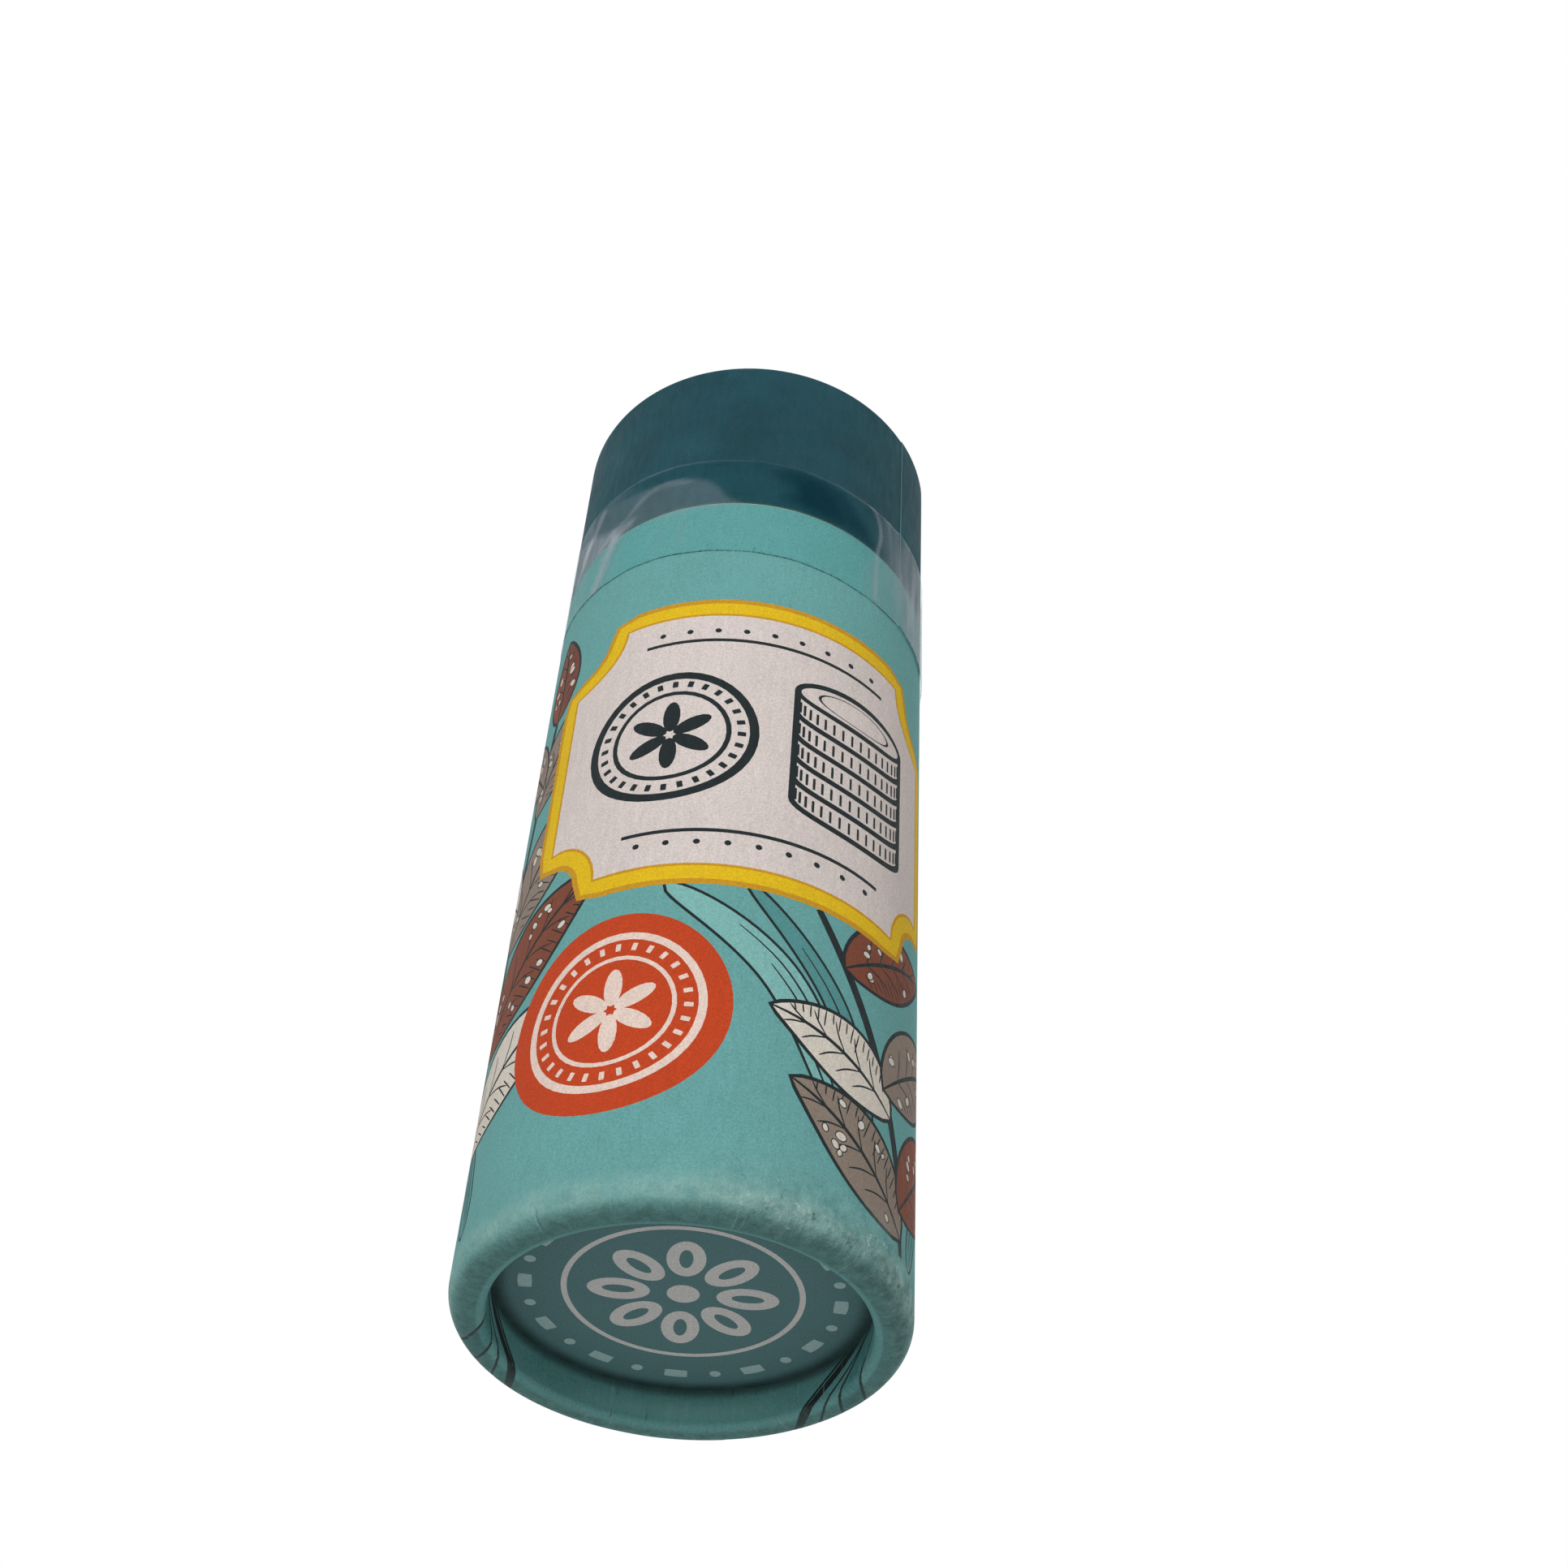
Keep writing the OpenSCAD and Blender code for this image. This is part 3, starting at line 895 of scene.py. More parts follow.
artwork = {
    "panelPlace": (2.5, 42.5),
    "panelSize": (35.0, 27.0),
    "panelScoop": 5.0,
    "bands": (("amber", 2.0), ("yellow", 1.5), ("amber", 0.25)),
    "panelCoin": {"place": (-7.6, 0.0), "radius": 6.6, "line": 0.75},
    "panelStack": {"place": (7.8, -5.6), "radius": 5.6, "line": 0.55, "coins": 5},
    "rules": (-10.4, 10.4),
    "ruleHalf": 10.5,
    "ruleWidth": 0.35,
    "ruleSpots": {"pitch": 2.3, "reach": 1.11, "up": 0.15, "radius": 0.27},
    "badgePlace": (-7.0, 16.0),
    "badgeRadius": 8.6,
    "badgeCoin": {"share": 0.76, "line": 0.62},
    "stemWidth": 0.9,
    "leafBend": 20,
    "stems": (  # points and seed of each stem, then its leaves
        (((17.5, 3.0), (16.5, 10.0), (13.0, 18.0), (7.5, 27.0)), 3, "low"),
        (((-25.0, 6.0), (-22.5, 18.0), (-21.0, 34.0), (-18.5, 52.0)), 11, "tall"),
        (((34.0, 6.0), (36.0, 20.0), (33.0, 36.0), (35.0, 50.0)), 30, "back"),
        (((-42.0, 6.0), (-44.0, 20.0), (-41.0, 36.0), (-43.0, 50.0)), 50, "back"),
    ),
    "leaves": {  # place along the stem, angle, length, width, ink and spots
        "low": (
            (0.1, 148, 13.5, 6.2, "taupe", 10), (0.2, 42, 14.0, 6.4, "brown", 13),
            (0.46, 160, 12.0, 5.6, "cream", 0), (0.55, 35, 14.5, 6.4, "taupe", 11),
            (0.84, 28, 13.0, 5.6, "brown", 10),
        ),
        "tall": (
            (0.18, 28, 16.0, 6.6, "cream", 0), (0.22, 142, 15.0, 6.6, "taupe", 10),
            (0.36, 40, 17.0, 7.2, "brown", 15), (0.44, 150, 15.0, 6.4, "brown", 12),
            (0.56, 46, 16.0, 7.4, "taupe", 12), (0.66, 144, 14.0, 6.0, "cream", 0),
            (0.8, 52, 13.0, 5.6, "taupe", 9), (0.86, 138, 13.0, 5.4, "taupe", 9),
            (0.99, 92, 10.0, 4.6, "brown", 8),
        ),
        "back": (
            (0.06, 40, 14.0, 6.2, "taupe", 10), (0.12, 144, 14.0, 6.2, "brown", 12),
            (0.3, 36, 14.0, 6.4, "brown", 12), (0.38, 146, 14.0, 6.2, "cream", 0),
            (0.54, 42, 14.0, 6.2, "cream", 0), (0.62, 142, 13.0, 5.8, "taupe", 10),
            (0.78, 44, 13.0, 5.6, "brown", 9), (0.84, 138, 12.0, 5.2, "brown", 9),
            (0.99, 92, 9.5, 4.4, "taupe", 7),
        ),
    },
}


def leafyStem(points, leaves, seed):
    path = smoothPath(points, 60)
    shapes = [("ink", stroke(points, artwork["stemWidth"], 0.5, 44))]
    for k, (share, angle, length, width, fill, spots) in enumerate(leaves):
        bend = artwork["leafBend"] * (-1 if cos(radians(angle)) > 0 else 1)
        shapes += leaf(path[int(share * 59)], angle, length, width, fill, bend, spots, seed + k)
    return shapes


def panelArtwork():  # a framed label with a coin and a stack of coins between two rules
    x, y = artwork["panelPlace"]
    panel = plaque((x, y), *artwork["panelSize"], artwork["panelScoop"])
    shapes = [(ink, grown(panel, by)) for ink, by in artwork["bands"]] + [("offWhite", panel)]
    coin, stack, spots = artwork["panelCoin"], artwork["panelStack"], artwork["ruleSpots"]
    place = (x + coin["place"][0], y + coin["place"][1])
    shapes += coinSign(place, coin["radius"], coin["line"], "ink", "offWhite")
    place = (x + stack["place"][0], y + stack["place"][1])
    shapes += coinStackSign(place, stack["radius"], stack["line"], stack["coins"], "ink", "offWhite")
    for rise in artwork["rules"]:
        left, right = x - artwork["ruleHalf"], x + artwork["ruleHalf"]
        low, high = y + rise, y + rise + artwork["ruleWidth"]
        rule = np.array([(left, low), (right, low), (right, high), (left, high)])
        shapes.append(("ink", denser(rule)))
        for k in range(-4, 5):
            place = (x + spots["pitch"] * k, y + rise * spots["reach"] + spots["up"])
            shapes.append(("ink", roundSpot(place, spots["radius"], 8)))
    return shapes


def tubeArtwork():
    shapes = grassBlades()
    for points, seed, leaves in artwork["stems"]:
        shapes += leafyStem(points, artwork["leaves"][leaves], seed)
    shapes += panelArtwork()
    place, radius, coin = artwork["badgePlace"], artwork["badgeRadius"], artwork["badgeCoin"]
    shapes.append(("orange", roundSpot(place, radius, 60)))
    return shapes + coinSign(place, radius * coin["share"], coin["line"], "pale", "orange")


discLook = {
    "marks": 24,  # dashes and dots by turns
    "markRing": 11.0,
    "dashHalf": 0.075,
    "dashWidth": 1.0,
    "dotRadius": 0.42,
    "lineRing": 8.3,
    "lineWidth": 0.42,
    "petals": 8,
    "petalRing": 4.5,
    "petalRadius": 2.2,
    "petalSquash": 0.62,
    "hollowRadius": 1.15,
    "hollowSquash": 0.42,
    "middleRadius": 1.15,
}


def discArtwork():  # pale rosette and a ring of dashes for the base disc
    look = discLook
    shapes = []
    for k in range(look["marks"]):
        a = 2 * pi * k / look["marks"]
        if k % 2:
            shapes.append(("discRing", roundSpot(onRing(look["markRing"], a), look["dotRadius"], 12)))
        else:
            ends = [onRing(look["markRing"], a + q * look["dashHalf"]) for q in (-1, 0, 1)]
            shapes.append(("discRing", stroke(ends, look["dashWidth"], 0.8, 8)))
    shapes += ringLine((0, 0), look["lineRing"], look["lineWidth"], "discPale", "discTeal", 72)
    for k in range(look["petals"]):
        a = 2 * pi * k / look["petals"]
        place = onRing(look["petalRing"], a)
        shapes.append(("discPale", roundSpot(place, look["petalRadius"], 26, look["petalSquash"], a)))
        shapes.append(("discTeal", roundSpot(place, look["hollowRadius"], 18, look["hollowSquash"], a)))
    shapes.append(("discPale", roundSpot((0, 0), look["middleRadius"], 24)))
    return shapes


# Sheets of paper: cut flat, then laid on their place

def eased(share):
    return share * share * (3 - 2 * share)


def covers(outline, points):  # which points lie inside the outline
    low, high = outline.min(0), outline.max(0)
    near = np.all((points >= low) & (points <= high), 1)
    inside = np.zeros(len(points), bool)
    if not near.any():
        return inside
    x, y = points[near, 0], points[near, 1]
    odd = np.zeros(len(x), bool)
    for (x1, y1), (x2, y2) in zip(outline, np.roll(outline, -1, 0)):
        if y1 == y2:
            continue
        crosses = (y1 > y) != (y2 > y)
        odd ^= crosses & (x < (x2 - x1) * (y - y1) / (y2 - y1) + x1)
    inside[near] = odd
    return inside


def cutSheet(rim, inner, shapes, ground):
    # Triangles of a flat sheet that follow the edges of every printed shape, and each triangle's ink
    points = [tuple(p) for p in rim] + [tuple(p) for p in inner]
    edges = [(k, (k + 1) % len(rim)) for k in range(len(rim))]
    for _, outline in shapes:
        first = len(points)
        points += [tuple(p) for p in outline]
        edges += [(first + k, first + (k + 1) % len(outline)) for k in range(len(outline))]
    flat, _, faces, _, _, _ = delaunay_2d_cdt([Vector(p) for p in points], edges, [], 0, 1e-5)
    flat = np.array([tuple(p) for p in flat])
    faces = np.array([f for f in faces if len(f) == 3])
    middles = flat[faces].mean(1)
    names = np.full(len(faces), ground, dtype=object)
    for ink, outline in shapes:
        names[covers(outline, middles)] = ink
    return flat, faces, names


def newMesh(name, points, faces):  # from points in mm
    mesh = bpy.data.meshes.new(name)
    places = [tuple(p) for p in np.array(points) * mm]
    mesh.from_pydata(places, [], [tuple(int(i) for i in f) for f in faces])
    return mesh


def skin(rows, closed=False):  # faces between rows of points, also from the last point to the first
    faces = []
    for row, after in zip(rows[:-1], rows[1:]):
        for k in range(len(row) - (0 if closed else 1)):
            n = (k + 1) % len(row)
            faces.append((row[k], after[k], after[n], row[n]))
    return faces


def addLayer(mesh, name, domain, colours):  # a colour for every corner or point
    layer = mesh.color_attributes.new(name, "FLOAT_COLOR", domain)
    layer.data.foreach_set("color", np.array(colours, float).ravel())


def smoothed(mesh, sharp):  # smooth shading up to that many degrees between two faces
    mesh.validate()
    mesh.shade_smooth()
    mesh.set_sharp_from_angle(angle=radians(sharp))
    return mesh


def inkedPiece(name, points, faces, normals, inkNames):
    mesh = newMesh(name, points, faces)
    table = {ink: paint(*colour) for ink, colour in inks.items()}
    colours = [np.tile(table[ink], (len(f), 1)) for ink, f in zip(inkNames, faces)]
    addLayer(mesh, "ink", "CORNER", np.concatenate(colours))
    mesh.validate()
    mesh.shade_smooth()
    mesh.normals_split_custom_set([tuple(n) for n in normals])
    return placed(name, mesh)


def shapesFrom(sLow, sHigh, shapes):  # the shapes as they lie on one turn of the tube between two seams
    moved = []
    for ink, outline in shapes:
        for turn in (-1, 0, 1):
            copy = outline + np.array([turn * tubeRound, 0])
            if copy[:, 0].max() > sLow and copy[:, 0].min() < sHigh:
                moved.append((ink, copy))
    return moved


def wrapSheet(name, look, sLow, rows, section, shapes):
    # A sheet wrapped round the tube from sLow. Its start lies over its end in a lap, and section(h)
    # gives the radius, the height and the outward direction at h.
    sHigh = sLow + tubeRound
    columns = look["columns"]
    across = np.linspace(sLow, sHigh, columns + 1)
    outline = [(s, rows[0]) for s in across] + [(sHigh, h) for h in rows[1:-1]]
    outline += [(s, rows[-1]) for s in across[::-1]] + [(sLow, h) for h in rows[-2:0:-1]]
    inner = [(s, h) for h in rows[1:-1] for s in across[1:-1]]
    flat, faces, names = cutSheet(outline, inner, shapesFrom(sLow, sHigh, shapes), look["ground"])
    midS, midH = flat[faces].mean(1).T
    kept = (midS > sLow) & (midS < sHigh) & (midH > rows[0]) & (midH < rows[-1])
    faces, names = faces[kept], names[kept]

    def laid(s, h, depth):
        radius, height, outR, outZ = section(h)
        angle = s / tubeR - pi / 2
        c, n = np.cos(angle), np.sin(angle)
        reach = radius + outR * depth
        place = np.stack([reach * c, reach * n, height + outZ * depth], 1)
        return place, np.stack([outR * c, outR * n, outZ], 1)

    lap = 1 - eased(np.clip((flat[:, 0] - sLow - look["lapFlat"]) / look["lapFade"], 0, 1))
    onWall = np.clip(section(flat[:, 1])[2] * 1.6 - 0.6, 0, 1)  # the lap lies flat over the edges
    outer, outerNormal = laid(flat[:, 0], flat[:, 1], look["lapLift"] * lap * onWall)
    gridS = np.tile(across[:-1], len(rows))
    gridH = np.repeat(rows, columns)
    back, backNormal = laid(gridS, gridH, np.full(len(gridS), -wrapT))
    points = np.concatenate([outer, back])
    start = len(outer)
    backRows = start + np.arange(len(back)).reshape(-1, columns)
    allFaces = [tuple(f) for f in faces] + skin(backRows, closed=True)
    normals = [outerNormal[i] if i < start else -backNormal[i - start] for f in allFaces for i in f]
    lookup = {(round(float(s), 3), round(float(h), 3)): k for k, (s, h) in enumerate(flat)}

    def outerAt(s, h):
        return lookup[(round(float(s), 3), round(float(h), 3))]

    low, high = [[outerAt(s, h) for s in across] for h in (rows[0], rows[-1])]
    lowBack, highBack = [[*row, row[0]] for row in (backRows[0], backRows[-1])]
    flats = skin([highBack, high]) + skin([low, lowBack])
    flats += skin([[outerAt(s, h) for h in rows] for s in (sHigh, sLow)])
    flats += [(high[-1], high[0], highBack[0]), (low[0], low[-1], lowBack[0])]
    for face in flats:
        p = points[list(face)]
        normal = np.cross(p[2] - p[0], p[-1] - p[1])
        normals += [normal / (np.linalg.norm(normal) + 1e-12)] * len(face)
    allFaces += flats
    inkNames = list(names) + [look["edgeInk"]] * (len(allFaces) - len(names))
    return inkedPiece(name, points, allFaces, normals, inkNames)


class Fold:
    # A sheet on the tube's wall that turns inwards over an edge and runs on inside. A place on it is
    # its height on the wall, which counts on past the edge: upwards where way is 1, downwards where -1.
    def __init__(self, edgeZ, way, rounds, reach, depth, flare=0.0):
        first, second = rounds
        self.edgeZ, self.way, self.rounds, self.inner = edgeZ, way, rounds, tubeR - reach
        self.slope = flare / (depth - second)
        self.wallEnd = edgeZ - way * first
        self.lengths = (first * pi / 2, reach - first - second, second * pi / 2, depth - second)

    def marks(self):  # where the wall, the first round, the land, the second round and the inside end
        marks = [self.wallEnd]
        for length in self.lengths:
            marks.append(marks[-1] + self.way * length)
        return marks

    def section(self, h):
        h = np.atleast_1d(np.asarray(h, float))
        edgeZ, way, (first, second) = self.edgeZ, self.way, self.rounds
        arc, land, arc2, _ = self.lengths
        past = way * (h - self.wallEnd)
        radius, height = np.full(len(h), tubeR), h.copy()
        outR, outZ = np.ones(len(h)), np.zeros(len(h))
        on = (past > 0) & (past <= arc)
        a = past[on] / first
        radius[on], height[on] = tubeR - first + first * np.cos(a), self.wallEnd + way * first * np.sin(a)
        outR[on], outZ[on] = np.cos(a), way * np.sin(a)
        on = (past > arc) & (past <= arc + land)
        radius[on], height[on] = tubeR - first - (past[on] - arc), edgeZ
        outR[on], outZ[on] = 0, way
        on = (past > arc + land) & (past <= arc + land + arc2)
        a = (past[on] - arc - land) / second
        radius[on] = self.inner + second - second * np.sin(a)
        height[on] = edgeZ - way * (second - second * np.cos(a))
        outR[on], outZ[on] = -np.sin(a), way * np.cos(a)
        on = past > arc + land + arc2
        run = past[on] - arc - land - arc2
        radius[on], height[on] = self.inner + self.slope * run, edgeZ - way * (second + run)
        tilt = hypot(1, self.slope)
        outR[on], outZ[on] = -1 / tilt, -way * self.slope / tilt
        return radius, height, outR, outZ


def rowsBetween(marks, steps):  # heights up a sheet, with a step for each stretch between two marks
    rows = []
    for low, high, step in zip(marks[:-1], marks[1:], steps):
        rows += list(np.linspace(low, high, max(2, round((high - low) / step) + 1))[:-1])
    return np.array(rows + [marks[-1]])


tubeSheet = {
    "ground": "teal",
    "edgeInk": "rawEdge",
    "columns": 144,
    "steps": (0.75, 0.12, 0.15, 0.2, 2.5),  # rows in the recess, over the rim in three stretches, up the wall
    "seamAngle": 165.0,
    "lapLift": 0.09,
    "lapFlat": 6.0,
    "lapFade": 2.0,
    "rounds": (1.6, 0.6),
    "lipReach": 2.7,
    "flare": 0.1,
}


def addTubeWrap():
    look = tubeSheet
    rim = Fold(0.0, -1, look["rounds"], look["lipReach"], recessZ, look["flare"])
    rows = rowsBetween(rim.marks()[::-1] + [joinZ], look["steps"])
    seamAt = radians(look["seamAngle"]) * tubeR - tubeRound
    piece = wrapSheet("tube_paper", look, seamAt, rows, rim.section, tubeArtwork())
    piece.data.materials.append(printedPaper)
    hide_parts("tube_wrap")
    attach(piece, "tube")


capSheet = {
    "ground": "capTeal",
    "edgeInk": "capEdge",
    "columns": 144,
    "steps": (2.0, 0.12, 0.3, 0.12, 0.6),  # rows up the wall, over the top edge in three stretches, inside
    "seamAngle": 55.0,
    "lapLift": 0.09,
    "lapFlat": 5.5,
    "lapFade": 2.0,
    "rounds": (0.6, 0.6),
    "discGap": 0.05,
}
capBoreR = capDiscR + capSheet["discGap"]


def addCapWrap():
    look = capSheet
    edge = Fold(capTop, 1, look["rounds"], tubeR - (capBoreR - wrapT), capTop - capFloorZ)
    rows = rowsBetween([capWrapLow] + edge.marks(), look["steps"])
    seamAt = radians(look["seamAngle"]) * tubeR
    piece = wrapSheet("cap_paper", look, seamAt, rows, edge.section, [])
    piece.data.materials.append(capPaper)
    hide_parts("cap_wrap")
    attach(piece, "cap")


discSheet = {
    "steps": 144,
    "rings": (1.5, 1.0, 9),  # radius of the first ring of points, gap from the last to the rim, how many
    "perRadius": 5,
}


def addBasePrint():
    steps = discSheet["steps"]
    firstRing, gap, rings = discSheet["rings"]
    angles = np.linspace(0, 2 * np.pi, steps, endpoint=False)
    rim = [onRing(discR, a) for a in angles]
    inner = [(0.0, 0.0)]
    for ring in np.linspace(firstRing, discR - gap, rings):
        count = max(8, int(ring * discSheet["perRadius"]))
        inner += [onRing(ring, 2 * pi * k / count) for k in range(count)]
    flat, faces, names = cutSheet(rim, inner, discArtwork(), "discTeal")
    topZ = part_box("base_print")[1].z / mm
    start = len(flat)
    points = [(x, y, recessZ) for x, y in flat] + [(x, y, topZ) for x, y in rim]
    onRim = [int(np.argmin(np.linalg.norm(flat - np.array(p), axis=1))) for p in rim]
    allFaces = [tuple(f[::-1]) for f in faces]
    normals = [(0, 0, -1)] * (3 * len(faces))
    for k in range(steps):
        n = (k + 1) % steps
        allFaces.append((onRim[k], onRim[n], start + n, start + k))
        normals += [(*onRing(1.0, angles[j]), 0) for j in (k, n, n, k)]
    allFaces.append(tuple(range(start, start + steps)))
    normals += [(0, 0, 1)] * steps
    inkNames = list(names) + ["rawEdge"] * (steps + 1)
    piece = inkedPiece("base_label", points, allFaces, normals, inkNames)
    piece.data.materials.append(discPaper)
    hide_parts("base_print")
    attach(piece, "tube")


# Boards and the cap's label

def lathe(name, profile, steps=144, sharp=35):  # a closed outline of radius and height, turned about Z
    points = [(*onRing(r, 2 * pi * k / steps), z) for k in range(steps) for r, z in profile]
    rows = np.arange(len(points)).reshape(steps, -1)
    return placed(name, smoothed(newMesh(name, points, skin([*rows, rows[0]], closed=True)), sharp))


def roundedBlock(rLow, rHigh, zLow, zHigh, rounds):
    # A section with its four corners rounded, from the low inside one on, anticlockwise
    corners = [(rLow, zLow, 1, 1, 180), (rHigh, zLow, -1, 1, 270),
               (rHigh, zHigh, -1, -1, 0), (rLow, zHigh, 1, -1, 90)]
    out = []
    for (r, z, x, y, start), q in zip(corners, rounds):
        for k in range(5):
            a = radians(start + 90 * k / 4)
            out.append((r + x * q + q * cos(a), z + y * q + q * sin(a)))
    return out


boardShape = {  # corners from the low inside one on, anticlockwise
    "capCorners": (0.12, 0.08, 0.45, 0.45),
    "neckCorners": (0.05, 0.05, 0.3, 0.22),
    "neckWall": 0.95,
    "labelHole": 0.02,
}


def addBoards():
    section = roundedBlock(capBoreR, capBoardR, joinZ, capBoardTop, boardShape["capCorners"])
    capBoard = lathe("cap_card", section)
    capBoard.data.materials.append(rawBoard)
    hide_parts("cap_board")
    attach(capBoard, "cap")

    section = roundedBlock(neckR - boardShape["neckWall"], neckR, neckLow, neckTop, boardShape["neckCorners"])
    neck = lathe("neck_card", section)
    neck.data.materials.append(neckBoard)
    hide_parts("neck_tube")
    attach(neck, "tube")
    for node, finish in (("tube_board", rawBoard), ("base_disc", rawBoard), ("cap_disc", rawBoard),
                         ("base_liner", linerPaper), ("cap_liner", linerPaper)):
        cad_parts[node].material_slots[0].material = finish


def addCapPrint():
    _, low, high = cadSpan("cap_print")
    hole = boardShape["labelHole"]
    piece = lathe("cap_label", [(hole, low), (capDiscR, low), (capDiscR, high), (hole, high)])
    mesh = piece.data
    addLayer(mesh, "ink", "CORNER", np.tile(paint(*inks["capTeal"]), (len(mesh.loops), 1)))
    mesh.materials.append(capPaper)
    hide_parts("cap_print")
    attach(piece, "cap")


# Clear tape

tapeShape = {
    "steps": 640,
    # rows of points up the band, closer at its dirty low edge and at its top edge, which has a painted
    # highlight
    "heights": [0.0, 0.012, 0.03, 0.06] + [0.09 + 0.035 * k for k in range(25)] + [0.965, 0.988, 1.0],
    "lowMiddle": 65.0,
    "tilt": 1.1,
    "tiltAngle": -62.0,
    "wander": ((3, 0.1, 1.0), (8, 0.05, 0.0), (27, 0.025, 0.0)),  # number, height and phase
    "width": 12.4,
    "lie": 0.03,
    "thickness": 0.035,
    "ripples": 5,
    "rippleHeight": 0.004,
    "seamLift": 0.115,
    "seamRise": (0.5, 7),  # where before a seam of the paper the film starts to climb, and how steeply
    "seamFall": (9.0, 1.6),
    "lapAngle": 112.0,
    "lapWidth": 9.0,
    "lapClimb": 1.5,
    "lapGap": 0.02,
    "grimeWidth": 0.16,
    # a painted highlight along the top edge: its width in mm, then its strength all round, towards the sides
    # and in waves
    "topHighlightWidth": 0.26,
    "topHighlight": (0.09, 0.11, 0.05),
    "strayWidth": 1.0,
    "strongestReflection": 0.7,
    "sheens": (  # painted sheens: azimuth at the low and the top edge, half width, from and to up the band, strength
        (-160, -150, 26, -0.2, 0.5, 0.09), (-19, -20, 18, -0.2, 1.2, 0.2),
        (-29, -23, 4, 0.1, 0.95, 0.18), (-12, -18, 4, 0.0, 0.7, 0.14),
        (58, 66, 13, 0.44, 1.2, 0.18), (64, 72, 4, 0.2, 0.95, 0.16),
        (52, 47, 3, -0.1, 0.7, 0.12), (128, 120, 20, -0.2, 0.62, 0.12),
        (134, 140, 15, 0.5, 1.2, 0.18), (140, 131, 4, 0.05, 0.9, 0.18),
        (172, 180, 5, 0.4, 1.1, 0.14),
    ),
    "reflectionStreaks": (  # painted reflection streaks: curves of azimuth and height up the band, half width in mm, strength
        (((-147, 0.44), (-141, 0.55), (-135, 0.61), (-131, 0.69), (-127, 0.77), (-121, 0.82), (-112, 0.79)),
         0.6, 0.13),
        (((-160, 0.42), (-156, 0.62), (-151, 0.76), (-148, 0.92)), 1.0, 0.28),
        (((-147, -0.02), (-144, 0.1), (-142, 0.24), (-140.5, 0.36), (-138, 0.45)), 1.3, 0.36),
        (((-38, 1.04), (-37, 0.7), (-36, 0.3), (-37, 0.0)), 1.0, 0.13),
        (((-19, 1.04), (-19, 0.75), (-19, 0.46)), 1.0, 0.14),
        (((-121, 0.04), (-119, 0.3), (-118, 0.44)), 0.9, 0.05),
        (((-113, 0.1), (-113.5, 0.46)), 1.1, 0.07),
        (((-52, 1.02), (-48, 0.96), (-46, 0.77), (-47.5, 0.5), (-48, 0.04)), 0.45, 0.26),
        (((-42, 1.0), (-41, 0.8), (-40, 0.58)), 0.6, 0.12),
        (((70, 0.95), (61, 0.72), (57, 0.4), (60, 0.1)), 0.5, 0.16),
        (((150, 0.96), (139, 0.8), (136, 0.55), (139, 0.3)), 0.6, 0.16),
        (((8, 0.98), (14, 0.7), (12, 0.35)), 0.5, 0.14),
    ),
    "reflectionPatches": (  # painted reflection patches: outline of azimuth and height up the band, fade in mm, strength
        (((-163, 0.47), (-163, 1.02), (-150, 0.98), (-140, 0.92), (-132, 0.86), (-124, 0.84), (-116, 0.83),
          (-109, 0.8), (-104, 0.73), (-100, 0.6), (-99, 0.47)), 0.9, 0.125),
        (((-168, 0.38), (-168, 0.84), (-157, 0.8), (-150, 0.72), (-144, 0.62), (-137, 0.58), (-131, 0.57),
          (-133, 0.49), (-140, 0.46), (-152, 0.42)), 1.2, 0.3),
        (((-49, -0.1), (-47, 0.48), (-12, 0.48), (-10, -0.1)), 2.4, 0.13),
        (((-44, 0.5), (-44, 1.08), (-10, 1.08), (-10, 0.0), (-30, 0.0), (-38, 0.2)), 1.4, 0.11),
        (((92, 0.47), (90, 0.8), (97, 0.95), (108, 0.9), (116, 0.72), (118, 0.47)), 0.9, 0.12),
    ),
    "clinging": (
        (((-80, 0.6), (-79, 0.76), (-84, 0.9), (-76, 1.0), (-66, 0.97), (-58, 0.86), (-51, 0.66),
          (-53, 0.59)), 2.4, 0.75),
        (((-76, 0.6), (-75, 0.92), (-69, 0.86), (-62, 0.6)), 2.0, 0.3),
        (((18, 0.6), (16, 0.8), (28, 0.96), (44, 0.88), (50, 0.6)), 2.4, 0.6),
    ),
    "sheenBend": (0.12, 7.3),
    "sheenWide": 10,  # a sheen with a half width over this keeps more of its middle even
    "sheenFirm": (0.6, 0.1),
    "sheenEnds": 0.12,
}


def awayFrom(places, path):  # how far each place lies from a line of points
    best = np.full(len(places), 1e9)
    for start, end in zip(path[:-1], path[1:]):
        way = end - start
        share = np.clip(((places - start) @ way) / (way @ way + 1e-12), 0, 1)
        best = np.minimum(best, np.linalg.norm(places - start - share[:, None] * way, axis=1))
    return best


def filmMarks(azimuths, shares):  # how strong the painted reflections are, and how clinging the film is, at each place
    scale = np.array([radians(tubeR), tapeShape["width"]])
    places = np.stack([(azimuths + 180) % 360 - 180, shares], 1) * scale
    pale, clinging = np.zeros(len(places)), np.zeros(len(places))
    for points, half, strength in tapeShape["reflectionStreaks"]:
        pale += strength * eased(np.clip(1 - awayFrom(places, smoothPath(points, 24) * scale) / half, 0, 1))
    # painted reflection patches add to the pale share, clinging patches to the other
    for table, total in ((tapeShape["reflectionPatches"], pale), (tapeShape["clinging"], clinging)):
        for outline, fade, strength in table:
            closed = smoothPath(outline, 60, closed=True) * scale
            depth = awayFrom(places, np.concatenate([closed, closed[:1]]))
            depth = np.where(covers(closed, places), depth, -depth)
            total += strength * eased(np.clip(0.5 + depth / fade, 0, 1))
    return pale, clinging


